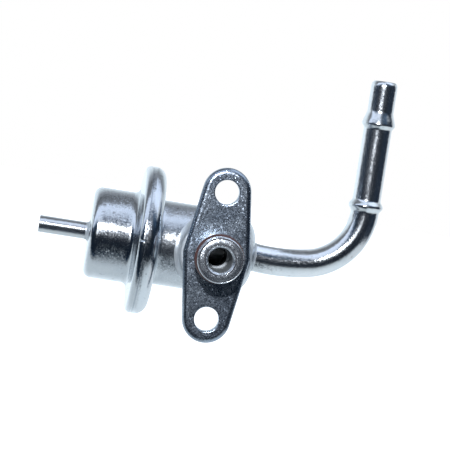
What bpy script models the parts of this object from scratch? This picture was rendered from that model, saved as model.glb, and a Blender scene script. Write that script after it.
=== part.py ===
"""Diaphragm fuel pressure regulator with a two-bolt port flange and a bent return tube.

Metres, +Z up. The origin is on the inlet spigot's axis, in the front face of the flange.
The spigot points to -Y. The regulator's own axis runs along X, behind the flange, from
the vacuum nipple at -X to the return tube at +X. The tube then turns up to +Z.
"""
from math import acos, atan2, ceil, cos, hypot, pi, radians, sin, sqrt, tan

import bmesh
import bpy
from mathutils import Vector

MM = 0.001

# Fits
SEAT_GAP = 0.3 * MM
VALVE_GAP = 0.3 * MM
GROOVE_PLAY = 0.25 * MM

# Broken and rounded edges of small pieces
FINE_EDGE = 0.12 * MM
SMALL_EDGE = 0.2 * MM
TURNED_EDGE = 0.3 * MM
ROUND_EDGE = 0.5 * MM

# Layout, measured from the spigot's axis and the flange's front face
CLAMP_X = -20.1 * MM
HOUSING_END_X = 11.4 * MM

# Spring cover
COVER_R = 12.85 * MM
COVER_SHEET = 1.4 * MM
COVER_LENGTH = 12.9 * MM
COVER_CORNER_R = 2.2 * MM
COVER_ROOT_R = 1.7 * MM
COVER_FLANGE_DISH = 0.45 * MM
RIM_R = 20.9 * MM
RIM_FRONT_R = 1.6 * MM
RIM_BACK_R = 3.5 * MM
RIM_LIP_SHEET = 1.2 * MM
RIM_LIP_WIDTH = 3.2 * MM
RIM_LIP_SET = 0.1 * MM
RIM_CREASE = 0.12 * MM

# Lower housing
HOUSING_R = 12.0 * MM
HOUSING_WALL = 1.7 * MM
HOUSING_END_WALL = 1.8 * MM
HOUSING_SHOULDER_R = 7.6 * MM
HOUSING_ROOT_R = 0.7 * MM
HOUSING_LIP_EDGE = 0.4 * MM
HOUSING_FLANGE = 3.1 * MM
HOUSING_MOUTH_MARGIN = 0.75 * MM
HOUSING_MOUTH_DEPTH = 1.9 * MM

# Diaphragm
DIAPHRAGM_BEAD = 1.2 * MM
DIAPHRAGM_WEB = 0.8 * MM
DIAPHRAGM_BEAD_MARGIN = 0.6 * MM
DIAPHRAGM_BEAD_EDGE = 0.4 * MM
ROLL_INNER_MARGIN = 0.5 * MM
ROLL_OUTER_MARGIN = 1.0 * MM
ROLL_HEIGHT = 1.1 * MM

# Vacuum nipple
NIPPLE_LENGTH = 14.1 * MM
NIPPLE_R = 2.4 * MM
NIPPLE_WALL = 0.75 * MM
NIPPLE_INSIDE = 1.2 * MM
NIPPLE_BRAZE = 0.75 * MM

# Inlet fitting
SPIGOT_LENGTH = 12.0 * MM
SPIGOT_R = 6.3 * MM
SPIGOT_BEVEL = 0.5 * MM
SPIGOT_WALL = 2.95 * MM
SPIGOT_BORE_CHAMFER = 0.6 * MM
THROAT_STEP = 0.55 * MM
THROAT_RING = 1.4 * MM
THROAT_WALL = 1.1 * MM
THROAT_REACH = 0.9 * MM
LIP_LENGTH = 2.9 * MM
BASE_INSET = 1.85 * MM
BASE_STANDOFF = 1.0 * MM
BASE_EDGE_R = 0.8 * MM
BASE_BRAZE = 1.1 * MM
BASE_BRAZE_EDGE = 0.15 * MM

# O-ring
ORING_SECTION = 2.3 * MM
ORING_PROUD = 0.5 * MM

# Mounting flange
PLATE = 3.0 * MM
BOLT_SPACING = 35.4 * MM
BOLT_HOLE_R = 3.4 * MM
PLATE_END_R = 6.7 * MM
PLATE_HALF_WIDTH = 9.35 * MM
PLATE_WAIST_R = 4.0 * MM
PLATE_EDGE_R = 1.1 * MM
HOLE_EDGE = 0.35 * MM

# Return tube
TUBE_R = 4.0 * MM
TUBE_WALL = 1.0 * MM
TUBE_SAG_START_X = 10.8 * MM
TUBE_SAG_R = 12.0 * MM
TUBE_SAG = radians(5.5)
TUBE_SWEEP_R = 55.0 * MM
TUBE_SWEEP = radians(16.0)
TUBE_BEND_R = 17.1 * MM
TUBE_LEAN = radians(0.75)
TUBE_RISE = 37.4 * MM
BEAD_AT = 1.75 * MM
BEAD_HEIGHT = 0.9 * MM
BEAD_HALF = 1.9 * MM
BARB_AT = 25.2 * MM
BARB_HEIGHT = 0.72 * MM
BARB_BACK = 1.5 * MM
BARB_CONE = 3.6 * MM
TIP_INSET = 0.28 * MM
TIP_BORE_INSET = 0.25 * MM
TIP_LAND = 0.02 * MM
TUBE_BRAZE = 0.5 * MM

# Valve seat
SEAT_LAND = 0.8 * MM
SEAT_NOSE = 1.2 * MM
SEAT_NOSE_PLAY = 0.45 * MM
SEAT_HEAD = 1.0 * MM
SEAT_SHANK = 2.9 * MM
SEAT_SHANK_WALL = 0.9 * MM
SEAT_EDGE = 0.3 * MM

# Valve
BALL_R = 2.6 * MM
BALL_FLAT = 1.5 * MM
POCKET_PLAY = 0.3 * MM
HOLDER_WALL = 0.9 * MM
HOLDER_FLANGE_R = 7.4 * MM
HOLDER_FLANGE = 1.0 * MM
POCKET_IN_FLANGE = 0.3 * MM
RETAINER_WIDTH = 1.0 * MM
RETAINER_PLAY = 0.16 * MM
RETAINER_SET = 0.1 * MM
RETAINER = 0.5 * MM
STEM_R = 2.3 * MM
STEM_HEAD_R = 3.5 * MM
STEM_HEAD = 0.9 * MM
CLAMP_WASHER_R = 8.8 * MM
CLAMP_WASHER = 0.6 * MM
RIVET_WASHER_R = 4.6 * MM
RIVET_WASHER = 0.5 * MM
BALL_WIRE_R = 0.2 * MM
BALL_COIL_R = 1.5 * MM
BALL_COIL_PITCH = 0.5 * MM
BALL_COIL_LENGTH = 1.63 * MM

# Spring plate, main spring and its upper seat
PLATE_SHEET = 1.0 * MM
SPRING_PLATE_PLAY = 2.15 * MM
SPRING_PLATE_WALL = 0.8 * MM
SPRING_PLATE_RIM = 1.5 * MM
SPRING_PLATE_EDGE = 0.8 * MM
SPRING_WIRE_R = 0.8 * MM
SPRING_PLAY = 0.6 * MM
SPRING_PITCH = 2.4 * MM
SPRING_DEAD_TURNS = 0.75
UPPER_SEAT_SHEET = 0.9 * MM
UPPER_SEAT_PLAY = 2.55 * MM
UPPER_SEAT_HUB_PLAY = 0.5 * MM
UPPER_SEAT_HUB_WALL = 0.8 * MM
UPPER_SEAT_HUB = 1.6 * MM

# Facets around each turned piece, and how far a chord may fall inside its arc
FINE = 40
MEDIUM = 30
HIDDEN = 24
SMALL = 18
FACET_TOLERANCE = 0.11 * MM


def material(name, color, metallic, roughness):
    mat = bpy.data.materials.new(name)
    mat.use_nodes = True
    shader = mat.node_tree.nodes["Principled BSDF"]
    shader.inputs["Base Color"].default_value = (*color, 1.0)
    shader.inputs["Metallic"].default_value = metallic
    shader.inputs["Roughness"].default_value = roughness
    return mat


def rounded(corners):
    """Points of a closed section whose corners (radius, axial, fillet) are rounded."""
    points = []
    count = len(corners)
    for i, (r, a, fillet) in enumerate(corners):
        here = Vector((r, a))
        if fillet <= 0.0:
            points.append((r, a))
            continue
        before = Vector(corners[i - 1][:2]) - here
        after = Vector(corners[(i + 1) % count][:2]) - here
        turn = acos(max(-1.0, min(1.0, before.normalized().dot(after.normalized()))))
        room = min(
            before.length * (0.5 if corners[i - 1][2] > 0 else 0.98),
            after.length * (0.5 if corners[(i + 1) % count][2] > 0 else 0.98),
        )
        reach = min(fillet / tan(turn / 2), room)
        radius = reach * tan(turn / 2)
        start = here + before.normalized() * reach
        end = here + after.normalized() * reach
        middle = here + (before.normalized() + after.normalized()).normalized() * (radius / sin(turn / 2))
        a0 = atan2(start.y - middle.y, start.x - middle.x)
        a1 = atan2(end.y - middle.y, end.x - middle.x)
        sweep = (a1 - a0 + pi) % (2 * pi) - pi
        chord = 2 * acos(max(0.0, 1 - FACET_TOLERANCE / radius))
        steps = max(1, round(abs(sweep) / chord))
        for k in range(steps + 1):
            t = a0 + sweep * k / steps
            points.append((middle.x + radius * cos(t), middle.y + radius * sin(t)))
    return points


def finish(name, bm, mat, parent, sharp=35.0):
    bmesh.ops.remove_doubles(bm, verts=bm.verts, dist=1e-7)
    bmesh.ops.recalc_face_normals(bm, faces=bm.faces)
    mesh = bpy.data.meshes.new(name)
    bm.to_mesh(mesh)
    bm.free()
    mesh.materials.append(mat)
    mesh.shade_smooth()
    mesh.set_sharp_from_angle(angle=radians(sharp))
    obj = bpy.data.objects.new(name, mesh)
    bpy.context.scene.collection.objects.link(obj)
    obj.parent = parent
    return obj


def turned(name, section, facets, mat, parent, closed=True):
    """Revolve a section of (radius, axial) points about the parent's Z axis."""
    bm = bmesh.new()
    verts = [bm.verts.new((r, 0.0, a)) for r, a in section]
    edges = [bm.edges.new(pair) for pair in zip(verts, verts[1:])]
    if closed:
        edges.append(bm.edges.new((verts[-1], verts[0])))
    bmesh.ops.spin(
        bm,
        geom=verts + edges,
        cent=(0, 0, 0),
        axis=(0, 0, 1),
        angle=2 * pi,
        steps=facets,
        use_merge=True,
    )
    return finish(name, bm, mat, parent)


def lofted(name, rings, mat, parent):
    """Skin a closed chain of equal rings: out along one wall and back along the other."""
    bm = bmesh.new()
    loops = [[bm.verts.new(p) for p in ring] for ring in rings]
    for near, far in zip(loops, loops[1:] + loops[:1]):
        for i in range(len(near)):
            j = (i + 1) % len(near)
            bm.faces.new((near[i], near[j], far[j], far[i]))
    return finish(name, bm, mat, parent)


def coil(name, coil_r, wire_r, start, end, live_pitch, dead_turns, per_turn, mat, parent):
    """A compression spring between two axial planes, with closed end turns."""
    data = bpy.data.curves.new(name, "CURVE")
    data.dimensions = "3D"
    data.bevel_depth = wire_r
    data.bevel_resolution = 1
    data.use_fill_caps = True
    low = start + wire_r
    rise = end - start - 2 * wire_r
    dead_pitch = 2.25 * wire_r
    live_turns = (rise - 2 * dead_turns * dead_pitch) / live_pitch
    turns = live_turns + 2 * dead_turns
    count = int(ceil(turns * per_turn))
    spline = data.splines.new("POLY")
    spline.points.add(count)
    for k in range(count + 1):
        t = turns * k / count
        first = min(t, dead_turns)
        live = min(max(t - dead_turns, 0.0), live_turns)
        last = max(t - dead_turns - live_turns, 0.0)
        a = low + (first + last) * dead_pitch + live * live_pitch
        spline.points[k].co = (coil_r * cos(2 * pi * t), coil_r * sin(2 * pi * t), a, 1.0)
    data.materials.append(mat)
    obj = bpy.data.objects.new(name, data)
    bpy.context.scene.collection.objects.link(obj)
    obj.parent = parent
    return obj


def as_tool(obj):
    obj.hide_render = True
    obj.display_type = "WIRE"
    return obj


def boolean(obj, tool, operation="DIFFERENCE"):
    mod = obj.modifiers.new(operation.title() + "_" + tool.name, "BOOLEAN")
    mod.operation = operation
    mod.object = tool
    mod.solver = "EXACT"
    return mod


def empty(name, location, rotation):
    obj = bpy.data.objects.new(name, None)
    obj.empty_display_size = 0.005
    obj.location = location
    obj.rotation_euler = rotation
    bpy.context.scene.collection.objects.link(obj)
    return obj


for old in list(bpy.data.objects):
    bpy.data.objects.remove(old, do_unlink=True)

PLATED = material("plated_steel", (0.62, 0.65, 0.70), 1.0, 0.28)
PLATED_PLATE = material("plated_plate", (0.50, 0.53, 0.58), 1.0, 0.38)
PLATED_TUBE = material("plated_tube", (0.58, 0.62, 0.68), 1.0, 0.22)
BRAZE = material("plated_braze", (0.66, 0.67, 0.68), 1.0, 0.32)
BROWN_RUBBER = material("brown_rubber", (0.085, 0.035, 0.032), 0.0, 0.45)
BLACK_RUBBER = material("coated_fabric", (0.03, 0.03, 0.035), 0.0, 0.7)
SPRING_STEEL = material("spring_steel", (0.35, 0.36, 0.38), 1.0, 0.35)
TURNED_STEEL = material("turned_steel", (0.55, 0.55, 0.56), 1.0, 0.25)
POLISHED = material("polished_steel", (0.75, 0.75, 0.77), 1.0, 0.08)

# Along the regulator's axis, local Z is world +X. At the port, local Z is world -Y.
axis_depth = HOUSING_R + BASE_STANDOFF + PLATE
BODY_AXIS = empty("body_axis", (0, axis_depth, 0), (0, pi / 2, 0))
VALVE_AXIS = empty("valve_axis", (0, axis_depth, 0), (0, pi / 2, 0))
PORT_AXIS = empty("port_axis", (0, 0, 0), (pi / 2, 0, 0))

# Planes of the clamped stack
cover_flange_x = CLAMP_X - DIAPHRAGM_BEAD / 2 - SEAT_GAP
housing_flange_x = CLAMP_X + DIAPHRAGM_BEAD / 2 + SEAT_GAP
housing_back_x = housing_flange_x + HOUSING_FLANGE

# Spring cover: cup, flange and the rim rolled round the housing's flange
cover_front_x = cover_flange_x - COVER_SHEET
cover_end_x = cover_front_x - COVER_LENGTH
cover_inner_r = COVER_R - COVER_SHEET
rim_inner_r = RIM_R - RIM_LIP_SHEET
rim_lip_end_r = RIM_R - RIM_LIP_WIDTH
crest_front_x = cover_front_x + RIM_FRONT_R + COVER_FLANGE_DISH
lip_back_x = housing_back_x - RIM_LIP_SET
cover_section = rounded(
    [
        (NIPPLE_R + SEAT_GAP, cover_end_x, 0),
        (COVER_R, cover_end_x, COVER_CORNER_R),
        (COVER_R, cover_front_x - COVER_FLANGE_DISH, COVER_ROOT_R),
        (RIM_R, cover_front_x + COVER_FLANGE_DISH, RIM_FRONT_R),
        (RIM_R, crest_front_x, 0),
        (RIM_R - RIM_CREASE, crest_front_x + RIM_CREASE, 0),
        (RIM_R, crest_front_x + 2 * RIM_CREASE, 0),
        (RIM_R, lip_back_x, RIM_BACK_R),
        (rim_lip_end_r, lip_back_x, 0),
        (rim_lip_end_r, lip_back_x - RIM_LIP_SHEET, 0),
        (rim_inner_r, lip_back_x - RIM_LIP_SHEET, RIM_BACK_R - RIM_LIP_SHEET),
        (rim_inner_r, cover_flange_x, RIM_FRONT_R / 2),
        (cover_inner_r, cover_flange_x, COVER_ROOT_R + COVER_SHEET),
        (cover_inner_r, cover_end_x + COVER_SHEET, COVER_CORNER_R / 2),
        (NIPPLE_R + SEAT_GAP, cover_end_x + COVER_SHEET, 0),
    ]
)
turned("spring_cover", cover_section, FINE, PLATED, BODY_AXIS)

# Lower housing: flange, open mouth for the diaphragm's roll, cylinder and rounded end
flange_edge_r = rim_inner_r - SEAT_GAP
flange_corner_r = RIM_BACK_R - RIM_LIP_SHEET - SEAT_GAP
lip_seat_x = lip_back_x - RIM_LIP_SHEET - SEAT_GAP
lip_seat_r = rim_lip_end_r - SEAT_GAP
housing_inner_r = HOUSING_R - HOUSING_WALL
mouth_r = COVER_R + HOUSING_MOUTH_MARGIN
housing_section = rounded(
    [
        (mouth_r, housing_flange_x, 0),
        (flange_edge_r, housing_flange_x, 0),
        (flange_edge_r, lip_seat_x, flange_corner_r),
        (lip_seat_r, lip_seat_x, 0),
        (lip_seat_r, housing_back_x, HOUSING_LIP_EDGE),
        (HOUSING_R, housing_back_x, HOUSING_ROOT_R),
        (HOUSING_R, HOUSING_END_X, HOUSING_SHOULDER_R),
        (TUBE_R + SEAT_GAP, HOUSING_END_X, 0),
        (TUBE_R + SEAT_GAP, HOUSING_END_X - HOUSING_END_WALL, 0),
        (housing_inner_r, HOUSING_END_X - HOUSING_END_WALL, HOUSING_SHOULDER_R - HOUSING_WALL),
        (housing_inner_r, housing_flange_x + HOUSING_MOUTH_DEPTH, 0),
        (mouth_r, housing_flange_x + HOUSING_MOUTH_DEPTH, 0),
    ]
)
housing = turned("lower_housing", housing_section, FINE, PLATED, BODY_AXIS)
housing_front_y = axis_depth - HOUSING_R
spigot_bore_r = SPIGOT_R - SPIGOT_WALL
throat_bore_r = spigot_bore_r - THROAT_STEP
throat_r = throat_bore_r + THROAT_RING
port_hole = turned(
    "port_hole_tool",
    [
        (0, -housing_front_y + HOUSING_R / 2),
        (throat_r + SEAT_GAP, -housing_front_y + HOUSING_R / 2),
        (throat_r + SEAT_GAP, -housing_front_y - HOUSING_R / 2),
        (0, -housing_front_y - HOUSING_R / 2),
    ],
    SMALL,
    PLATED,
    PORT_AXIS,
    closed=False,
)
boolean(housing, as_tool(port_hole))

# Vacuum nipple and its braze
nipple_inner_x = cover_end_x + COVER_SHEET + NIPPLE_INSIDE
nipple_end_x = cover_end_x - NIPPLE_LENGTH
nipple_bore_r = NIPPLE_R - NIPPLE_WALL
turned(
    "vacuum_nipple",
    rounded(
        [
            (nipple_bore_r, nipple_end_x, FINE_EDGE),
            (NIPPLE_R, nipple_end_x, SMALL_EDGE),
            (NIPPLE_R, nipple_inner_x, 0),
            (nipple_bore_r, nipple_inner_x, 0),
        ]
    ),
    SMALL,
    PLATED_TUBE,
    BODY_AXIS,
)


def fillet_ring(name, bore_r, face_x, size, outward, facets):
    """Concave braze fillet between a tube and the face that it leaves."""
    section = [(bore_r, face_x), (bore_r, face_x + outward * size)]
    for k in range(1, 4):
        t = pi / 2 * k / 4
        section.append((bore_r + size * (1 - cos(t)), face_x + outward * size * (1 - sin(t))))
    section.append((bore_r + size, face_x))
    return turned(name, section, facets, BRAZE, BODY_AXIS)


fillet_ring("nipple_braze_ring", NIPPLE_R + SEAT_GAP, cover_end_x - SEAT_GAP, NIPPLE_BRAZE, -1, SMALL)
fillet_ring("outlet_braze_ring", TUBE_R + SEAT_GAP, HOUSING_END_X + SEAT_GAP, TUBE_BRAZE, 1, SMALL)

# Inlet fitting. Heights are measured along local Z, so they grow away from the body.
plate_back = -PLATE
base_front = plate_back - SEAT_GAP
base_r = HOUSING_R - BASE_INSET
base_foot = -axis_depth + sqrt((HOUSING_R + SEAT_GAP) ** 2 - base_r**2) - SEAT_GAP
oring_outer_r = SPIGOT_R + ORING_PROUD
groove_floor_r = oring_outer_r - ORING_SECTION - GROOVE_PLAY
groove_front = SPIGOT_LENGTH - LIP_LENGTH
groove_width = ORING_SECTION + 2 * GROOVE_PLAY
fitting_section = rounded(
    [
        (throat_bore_r, base_foot, 0),
        (base_r, base_foot, 0),
        (base_r, base_front, BASE_EDGE_R),
        (SPIGOT_R, base_front, 0),
        (SPIGOT_R, groove_front - groove_width, 0),
        (groove_floor_r, groove_front - groove_width, 0),
        (groove_floor_r, groove_front, 0),
        (SPIGOT_R, groove_front, 0),
        (SPIGOT_R, SPIGOT_LENGTH - SPIGOT_BEVEL, 0),
        (SPIGOT_R - SPIGOT_BEVEL, SPIGOT_LENGTH, 0),
        (spigot_bore_r + SPIGOT_BORE_CHAMFER, SPIGOT_LENGTH, 0),
        (spigot_bore_r, SPIGOT_LENGTH - SPIGOT_BORE_CHAMFER, 0),
        (spigot_bore_r, 0, 0),
        (throat_bore_r, 0, 0),
    ]
)
fitting = turned("inlet_fitting", fitting_section, MEDIUM, PLATED, PORT_AXIS)
saddle_tool = turned(
    "saddle_tool",
    rounded(
        [
            (0, housing_back_x, 0),
            (HOUSING_R + SEAT_GAP, housing_back_x, 0),
            (HOUSING_R + SEAT_GAP, HOUSING_END_X + SEAT_GAP, HOUSING_SHOULDER_R + SEAT_GAP),
            (0, HOUSING_END_X + SEAT_GAP, 0),
        ]
    ),
    FINE,
    PLATED,
    BODY_AXIS,
    closed=False,
)
throat_end = -(housing_front_y + HOUSING_WALL + THROAT_REACH)
throat_tool = turned(
    "throat_tool",
    [
        (throat_r - THROAT_WALL, throat_end),
        (throat_r, throat_end),
        (throat_r, base_front / 2),
        (throat_r - THROAT_WALL, base_front / 2),
    ],
    SMALL,
    PLATED,
    PORT_AXIS,
)
boolean(fitting, as_tool(saddle_tool))
boolean(fitting, as_tool(throat_tool), "UNION")


def body_height(x, z):
    """Height, along the port's axis, of a skin that lies one gap outside the housing."""
    over = max(x - (HOUSING_END_X - HOUSING_SHOULDER_R), 0.0)
    skin_r = HOUSING_R - HOUSING_SHOULDER_R + sqrt((HOUSING_SHOULDER_R + SEAT_GAP) ** 2 - over**2)
    return -axis_depth + sqrt(skin_r**2 - z**2)


def base_braze_ring(steps, facets):
    """Concave fillet between the round base and the housing that it straddles."""
    inner_r = base_r + SEAT_GAP

    def ring(share, filled):
        points = []
        for k in range(facets):
            t = 2 * pi * k / facets
            reach = BASE_BRAZE * (1 - 0.5 * max(cos(t), 0.0))
            rise = min(reach, base_front - body_height(inner_r * cos(t), inner_r * sin(t)) - BASE_BRAZE_EDGE)
            r = inner_r + reach * share
            height = body_height(r * cos(t), r * sin(t))
            if filled:
                height += BASE_BRAZE_EDGE + (rise - BASE_BRAZE_EDGE) * (1 - sqrt(1 - (1 - share) ** 2))
            points.append((r * cos(t), r * sin(t), height))
        return points

    upper = [ring(k / steps, True) for k in range(steps + 1)]
    lower = [ring(share, False) for share in (1.0, 0.5, 0.0)]
    return lofted("inlet_braze_ring", upper + lower, BRAZE, PORT_AXIS)


base_braze_ring(4, MEDIUM)

# O-ring in the spigot's groove
oring_centre_r = oring_outer_r - ORING_SECTION / 2
oring_centre = groove_front - groove_width / 2
turned(
    "o_ring",
    [
        (
            oring_centre_r + ORING_SECTION / 2 * cos(2 * pi * k / 8),
            oring_centre + ORING_SECTION / 2 * sin(2 * pi * k / 8),
        )
        for k in range(8)
    ],
    MEDIUM,
    BROWN_RUBBER,
    PORT_AXIS,
)


def lozenge(half_spacing, end_r, half_width, waist_r, per_end):
    """Outline of a two-bolt flange: two end arcs joined by straight flanks and soft waists."""
    flank = acos(end_r / hypot(half_width, half_spacing)) - atan2(half_spacing, half_width)
    inset = half_width - waist_r / cos(flank)
    points = []
    for side in (1, -1):
        for k in range(per_end + 1):
            t = flank + (pi - 2 * flank) * k / per_end
            points.append((side * end_r * cos(t), side * (half_spacing + end_r * sin(t))))
        for k in range(5):
            t = pi - flank + 2 * flank * k / 4
            points.append((side * (waist_r * cos(t) - inset), side * waist_r * sin(t)))
    return points


# Mounting flange, drawn in its own plane and extruded backwards
outline = lozenge(BOLT_SPACING / 2, PLATE_END_R, PLATE_HALF_WIDTH, PLATE_WAIST_R, 12)
bm = bmesh.new()
face = bm.faces.new([bm.verts.new((x, z, 0.0)) for x, z in outline])
extruded = bmesh.ops.extrude_face_region(bm, geom=[face])
bmesh.ops.translate(
    bm,
    verts=[v for v in extruded["geom"] if isinstance(v, bmesh.types.BMVert)],
    vec=(0, 0, -PLATE),
)
plate = finish("mounting_flange", bm, PLATED_PLATE, PORT_AXIS)


def hole_tool(name, x, z, radius, edge):
    """A drill through the plate that also breaks the edge of its front and back rims."""
    obj = turned(
        name,
        [
            (0, -2 * PLATE),
            (radius + edge + PLATE, -2 * PLATE),
            (radius + edge, -PLATE),
            (radius, -PLATE + edge),
            (radius, -edge),
            (radius + edge, 0),
            (radius + edge + PLATE, PLATE),
            (0, PLATE),
        ],
        SMALL,
        PLATED_PLATE,
        PORT_AXIS,
        closed=False,
    )
    obj.location = (x, z, 0)
    return as_tool(obj)


rolled = plate.modifiers.new("Rolled_edge", "BEVEL")
rolled.width = PLATE_EDGE_R
rolled.segments = 3
rolled.limit_method = "ANGLE"
rolled.angle_limit = radians(60)
for label, at in (("top", BOLT_SPACING / 2), ("bottom", -BOLT_SPACING / 2)):
    boolean(plate, hole_tool("bolt_hole_tool_" + label, 0, at, BOLT_HOLE_R, HOLE_EDGE))
boolean(plate, hole_tool("neck_hole_tool", 0, 0, SPIGOT_R + SEAT_GAP, 0))


class Route:
    """Centreline in the XZ plane, made of straight runs and arcs."""

    def __init__(self, x, z):
        self.runs = []
        self.x, self.z, self.heading, self.length = x, z, 0.0, 0.0

    def add(self, length, turn=0.0):
        self.runs.append((self.length, length, turn, self.x, self.z, self.heading))
        self.x, self.z, self.heading = self._step(length, length, turn, self.x, self.z, self.heading)
        self.length += length

    @staticmethod
    def _step(s, length, turn, x, z, heading):
        if abs(turn) < 1e-9:
            return x + s * cos(heading), z + s * sin(heading), heading
        radius = length / turn
        new = heading + turn * s / length
        return x + radius * (sin(new) - sin(heading)), z + radius * (cos(heading) - cos(new)), new

    def at(self, s):
        for start, length, turn, x, z, heading in self.runs:
            if s <= start + length + 1e-9:
                break
        return self._step(s - start, length, turn, x, z, heading)

    def ring(self, s, radius, facets):
        x, z, heading = self.at(s)
        points = []
        for k in range(facets):
            t = 2 * pi * k / facets
            off = radius * cos(t)
            points.append((x - off * sin(heading), radius * sin(t), z + off * cos(heading)))
        return points


# Valve stack along the axis, from the diaphragm to the seat
clamp_washer_left_x = CLAMP_X + DIAPHRAGM_WEB / 2 + SEAT_GAP
flange_left_x = clamp_washer_left_x + CLAMP_WASHER + SEAT_GAP
flange_right_x = flange_left_x + HOLDER_FLANGE
pocket_floor_x = flange_right_x - POCKET_IN_FLANGE
ball_spring_end_x = pocket_floor_x + SEAT_GAP / 2 + BALL_COIL_LENGTH
ball_x = ball_spring_end_x + SEAT_GAP + sqrt(BALL_R**2 - BALL_COIL_R**2)
ball_flat_x = ball_x + BALL_FLAT
seat_face_x = ball_flat_x + VALVE_GAP
retainer_hole_r = sqrt(BALL_R**2 - (BALL_FLAT - RETAINER_SET) ** 2) + RETAINER_PLAY

# Return tube: from the seat, out through the end wall, round the bend and up to the barb
tube_start_x = seat_face_x + SEAT_NOSE + SEAT_HEAD + SEAT_GAP
tube_bore_r = TUBE_R - TUBE_WALL
tip_r = TUBE_R - TIP_INSET
tip_bore_r = tube_bore_r - TIP_BORE_INSET
tip_nose_r = tip_r - tip_bore_r - TIP_LAND
route = Route(tube_start_x, 0.0)
route.add(TUBE_SAG_START_X - tube_start_x)
sag_start = route.length
route.add(TUBE_SAG_R * TUBE_SAG, -TUBE_SAG)
route.add(TUBE_SWEEP_R * TUBE_SWEEP, TUBE_SWEEP)
bend_start = route.length
bend_turn = pi / 2 + TUBE_LEAN - (TUBE_SWEEP - TUBE_SAG)
route.add(TUBE_BEND_R * bend_turn, bend_turn)
rise_start = route.length
route.add(TUBE_RISE)
tube_end = route.length


def smooth(u):
    return u * u * (3 - 2 * u)


def tube_radius(s):
    """Outer radius along the tube: plain, bead, plain, barb, narrowed tip and rounded nose."""
    bead = abs(s - rise_start - BEAD_AT) / BEAD_HALF
    if bead < 1:
        return TUBE_R + BEAD_HEIGHT * (0.5 + 0.5 * cos(pi * bead))
    barb = s - rise_start - BARB_AT
    if barb < -BARB_BACK:
        return TUBE_R
    if barb < 0:
        return TUBE_R + BARB_HEIGHT * smooth(1 + barb / BARB_BACK)
    if barb < BARB_CONE:
        fall = 0.6 * barb / BARB_CONE + 0.4 * smooth(barb / BARB_CONE)
        return TUBE_R + BARB_HEIGHT - (BARB_HEIGHT + TIP_INSET) * fall
    nose = s - (tube_end - tip_nose_r)
    if nose <= 0:
        return tip_r
    return tip_r - tip_nose_r + sqrt(max(tip_nose_r**2 - nose**2, 0.0))


def spread(low, high, count):
    return [low + (high - low) * k / count for k in range(count + 1)]


bead_mid = rise_start + BEAD_AT
barb_mid = rise_start + BARB_AT
outer_stations = sorted(
    {
        0.0,
        *spread(sag_start, bend_start, 6),
        *spread(bend_start, rise_start, 12)[:-1],
        *spread(bead_mid - BEAD_HALF, bead_mid + BEAD_HALF, 8),
        *spread(barb_mid - BARB_BACK, barb_mid, 4),
        *spread(barb_mid, barb_mid + BARB_CONE, 5),
        *(tube_end - tip_nose_r * (1 - sin(pi / 2 * k / 4)) for k in range(5)),
    }
)
inner_stations = sorted(
    {
        0.0,
        *spread(sag_start, bend_start, 4),
        *spread(bend_start, rise_start, 9),
        barb_mid,
    }
)
TUBE_FACETS = 18
rings = [route.ring(s, tube_radius(s), TUBE_FACETS) for s in outer_stations]
rings.append(route.ring(tube_end, tip_bore_r, TUBE_FACETS))
rings.append(route.ring(barb_mid + BARB_CONE, tip_bore_r, TUBE_FACETS))
rings.extend(route.ring(s, tube_bore_r, TUBE_FACETS) for s in reversed(inner_stations))
TUBE_AXIS = empty("tube_axis", (0, axis_depth, 0), (0, 0, 0))
lofted("outlet_tube", rings, PLATED_TUBE, TUBE_AXIS)

# Valve seat, set in the tube's inner end
seat_shoulder_x = seat_face_x + SEAT_NOSE
seat_head_end_x = seat_shoulder_x + SEAT_HEAD
shank_r = tube_bore_r - SEAT_GAP
seat_outlet_r = shank_r - SEAT_SHANK_WALL
seat_nose_r = retainer_hole_r - SEAT_NOSE_PLAY
seat_hole_r = seat_nose_r - SEAT_LAND
turned(
    "valve_seat",
    [
        (seat_hole_r, seat_face_x),
        (seat_nose_r, seat_face_x),
        (seat_nose_r, seat_shoulder_x),
        (TUBE_R - SEAT_EDGE, seat_shoulder_x),
        (TUBE_R, seat_shoulder_x + SEAT_EDGE),
        (TUBE_R, seat_head_end_x),
        (shank_r, seat_head_end_x),
        (shank_r, seat_head_end_x + SEAT_SHANK),
        (seat_outlet_r, seat_head_end_x + SEAT_SHANK),
        (seat_outlet_r, seat_shoulder_x),
        (seat_hole_r, seat_shoulder_x - SEAT_NOSE / 2),
    ],
    SMALL,
    TURNED_STEEL,
    BODY_AXIS,
)

# Diaphragm: clamped bead, one roll that bulges to the spring side, flat centre
hole_r = STEM_R + SEAT_GAP
spring_plate_r = cover_inner_r - SPRING_PLATE_PLAY
roll_inner_r = spring_plate_r + ROLL_INNER_MARGIN
roll_outer_r = mouth_r - ROLL_OUTER_MARGIN
diaphragm_bead_r = mouth_r + DIAPHRAGM_BEAD_MARGIN


def roll_offset(r):
    if r <= roll_inner_r or r >= roll_outer_r:
        return 0.0
    return ROLL_HEIGHT * sin(pi * (r - roll_inner_r) / (roll_outer_r - roll_inner_r)) ** 2


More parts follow.
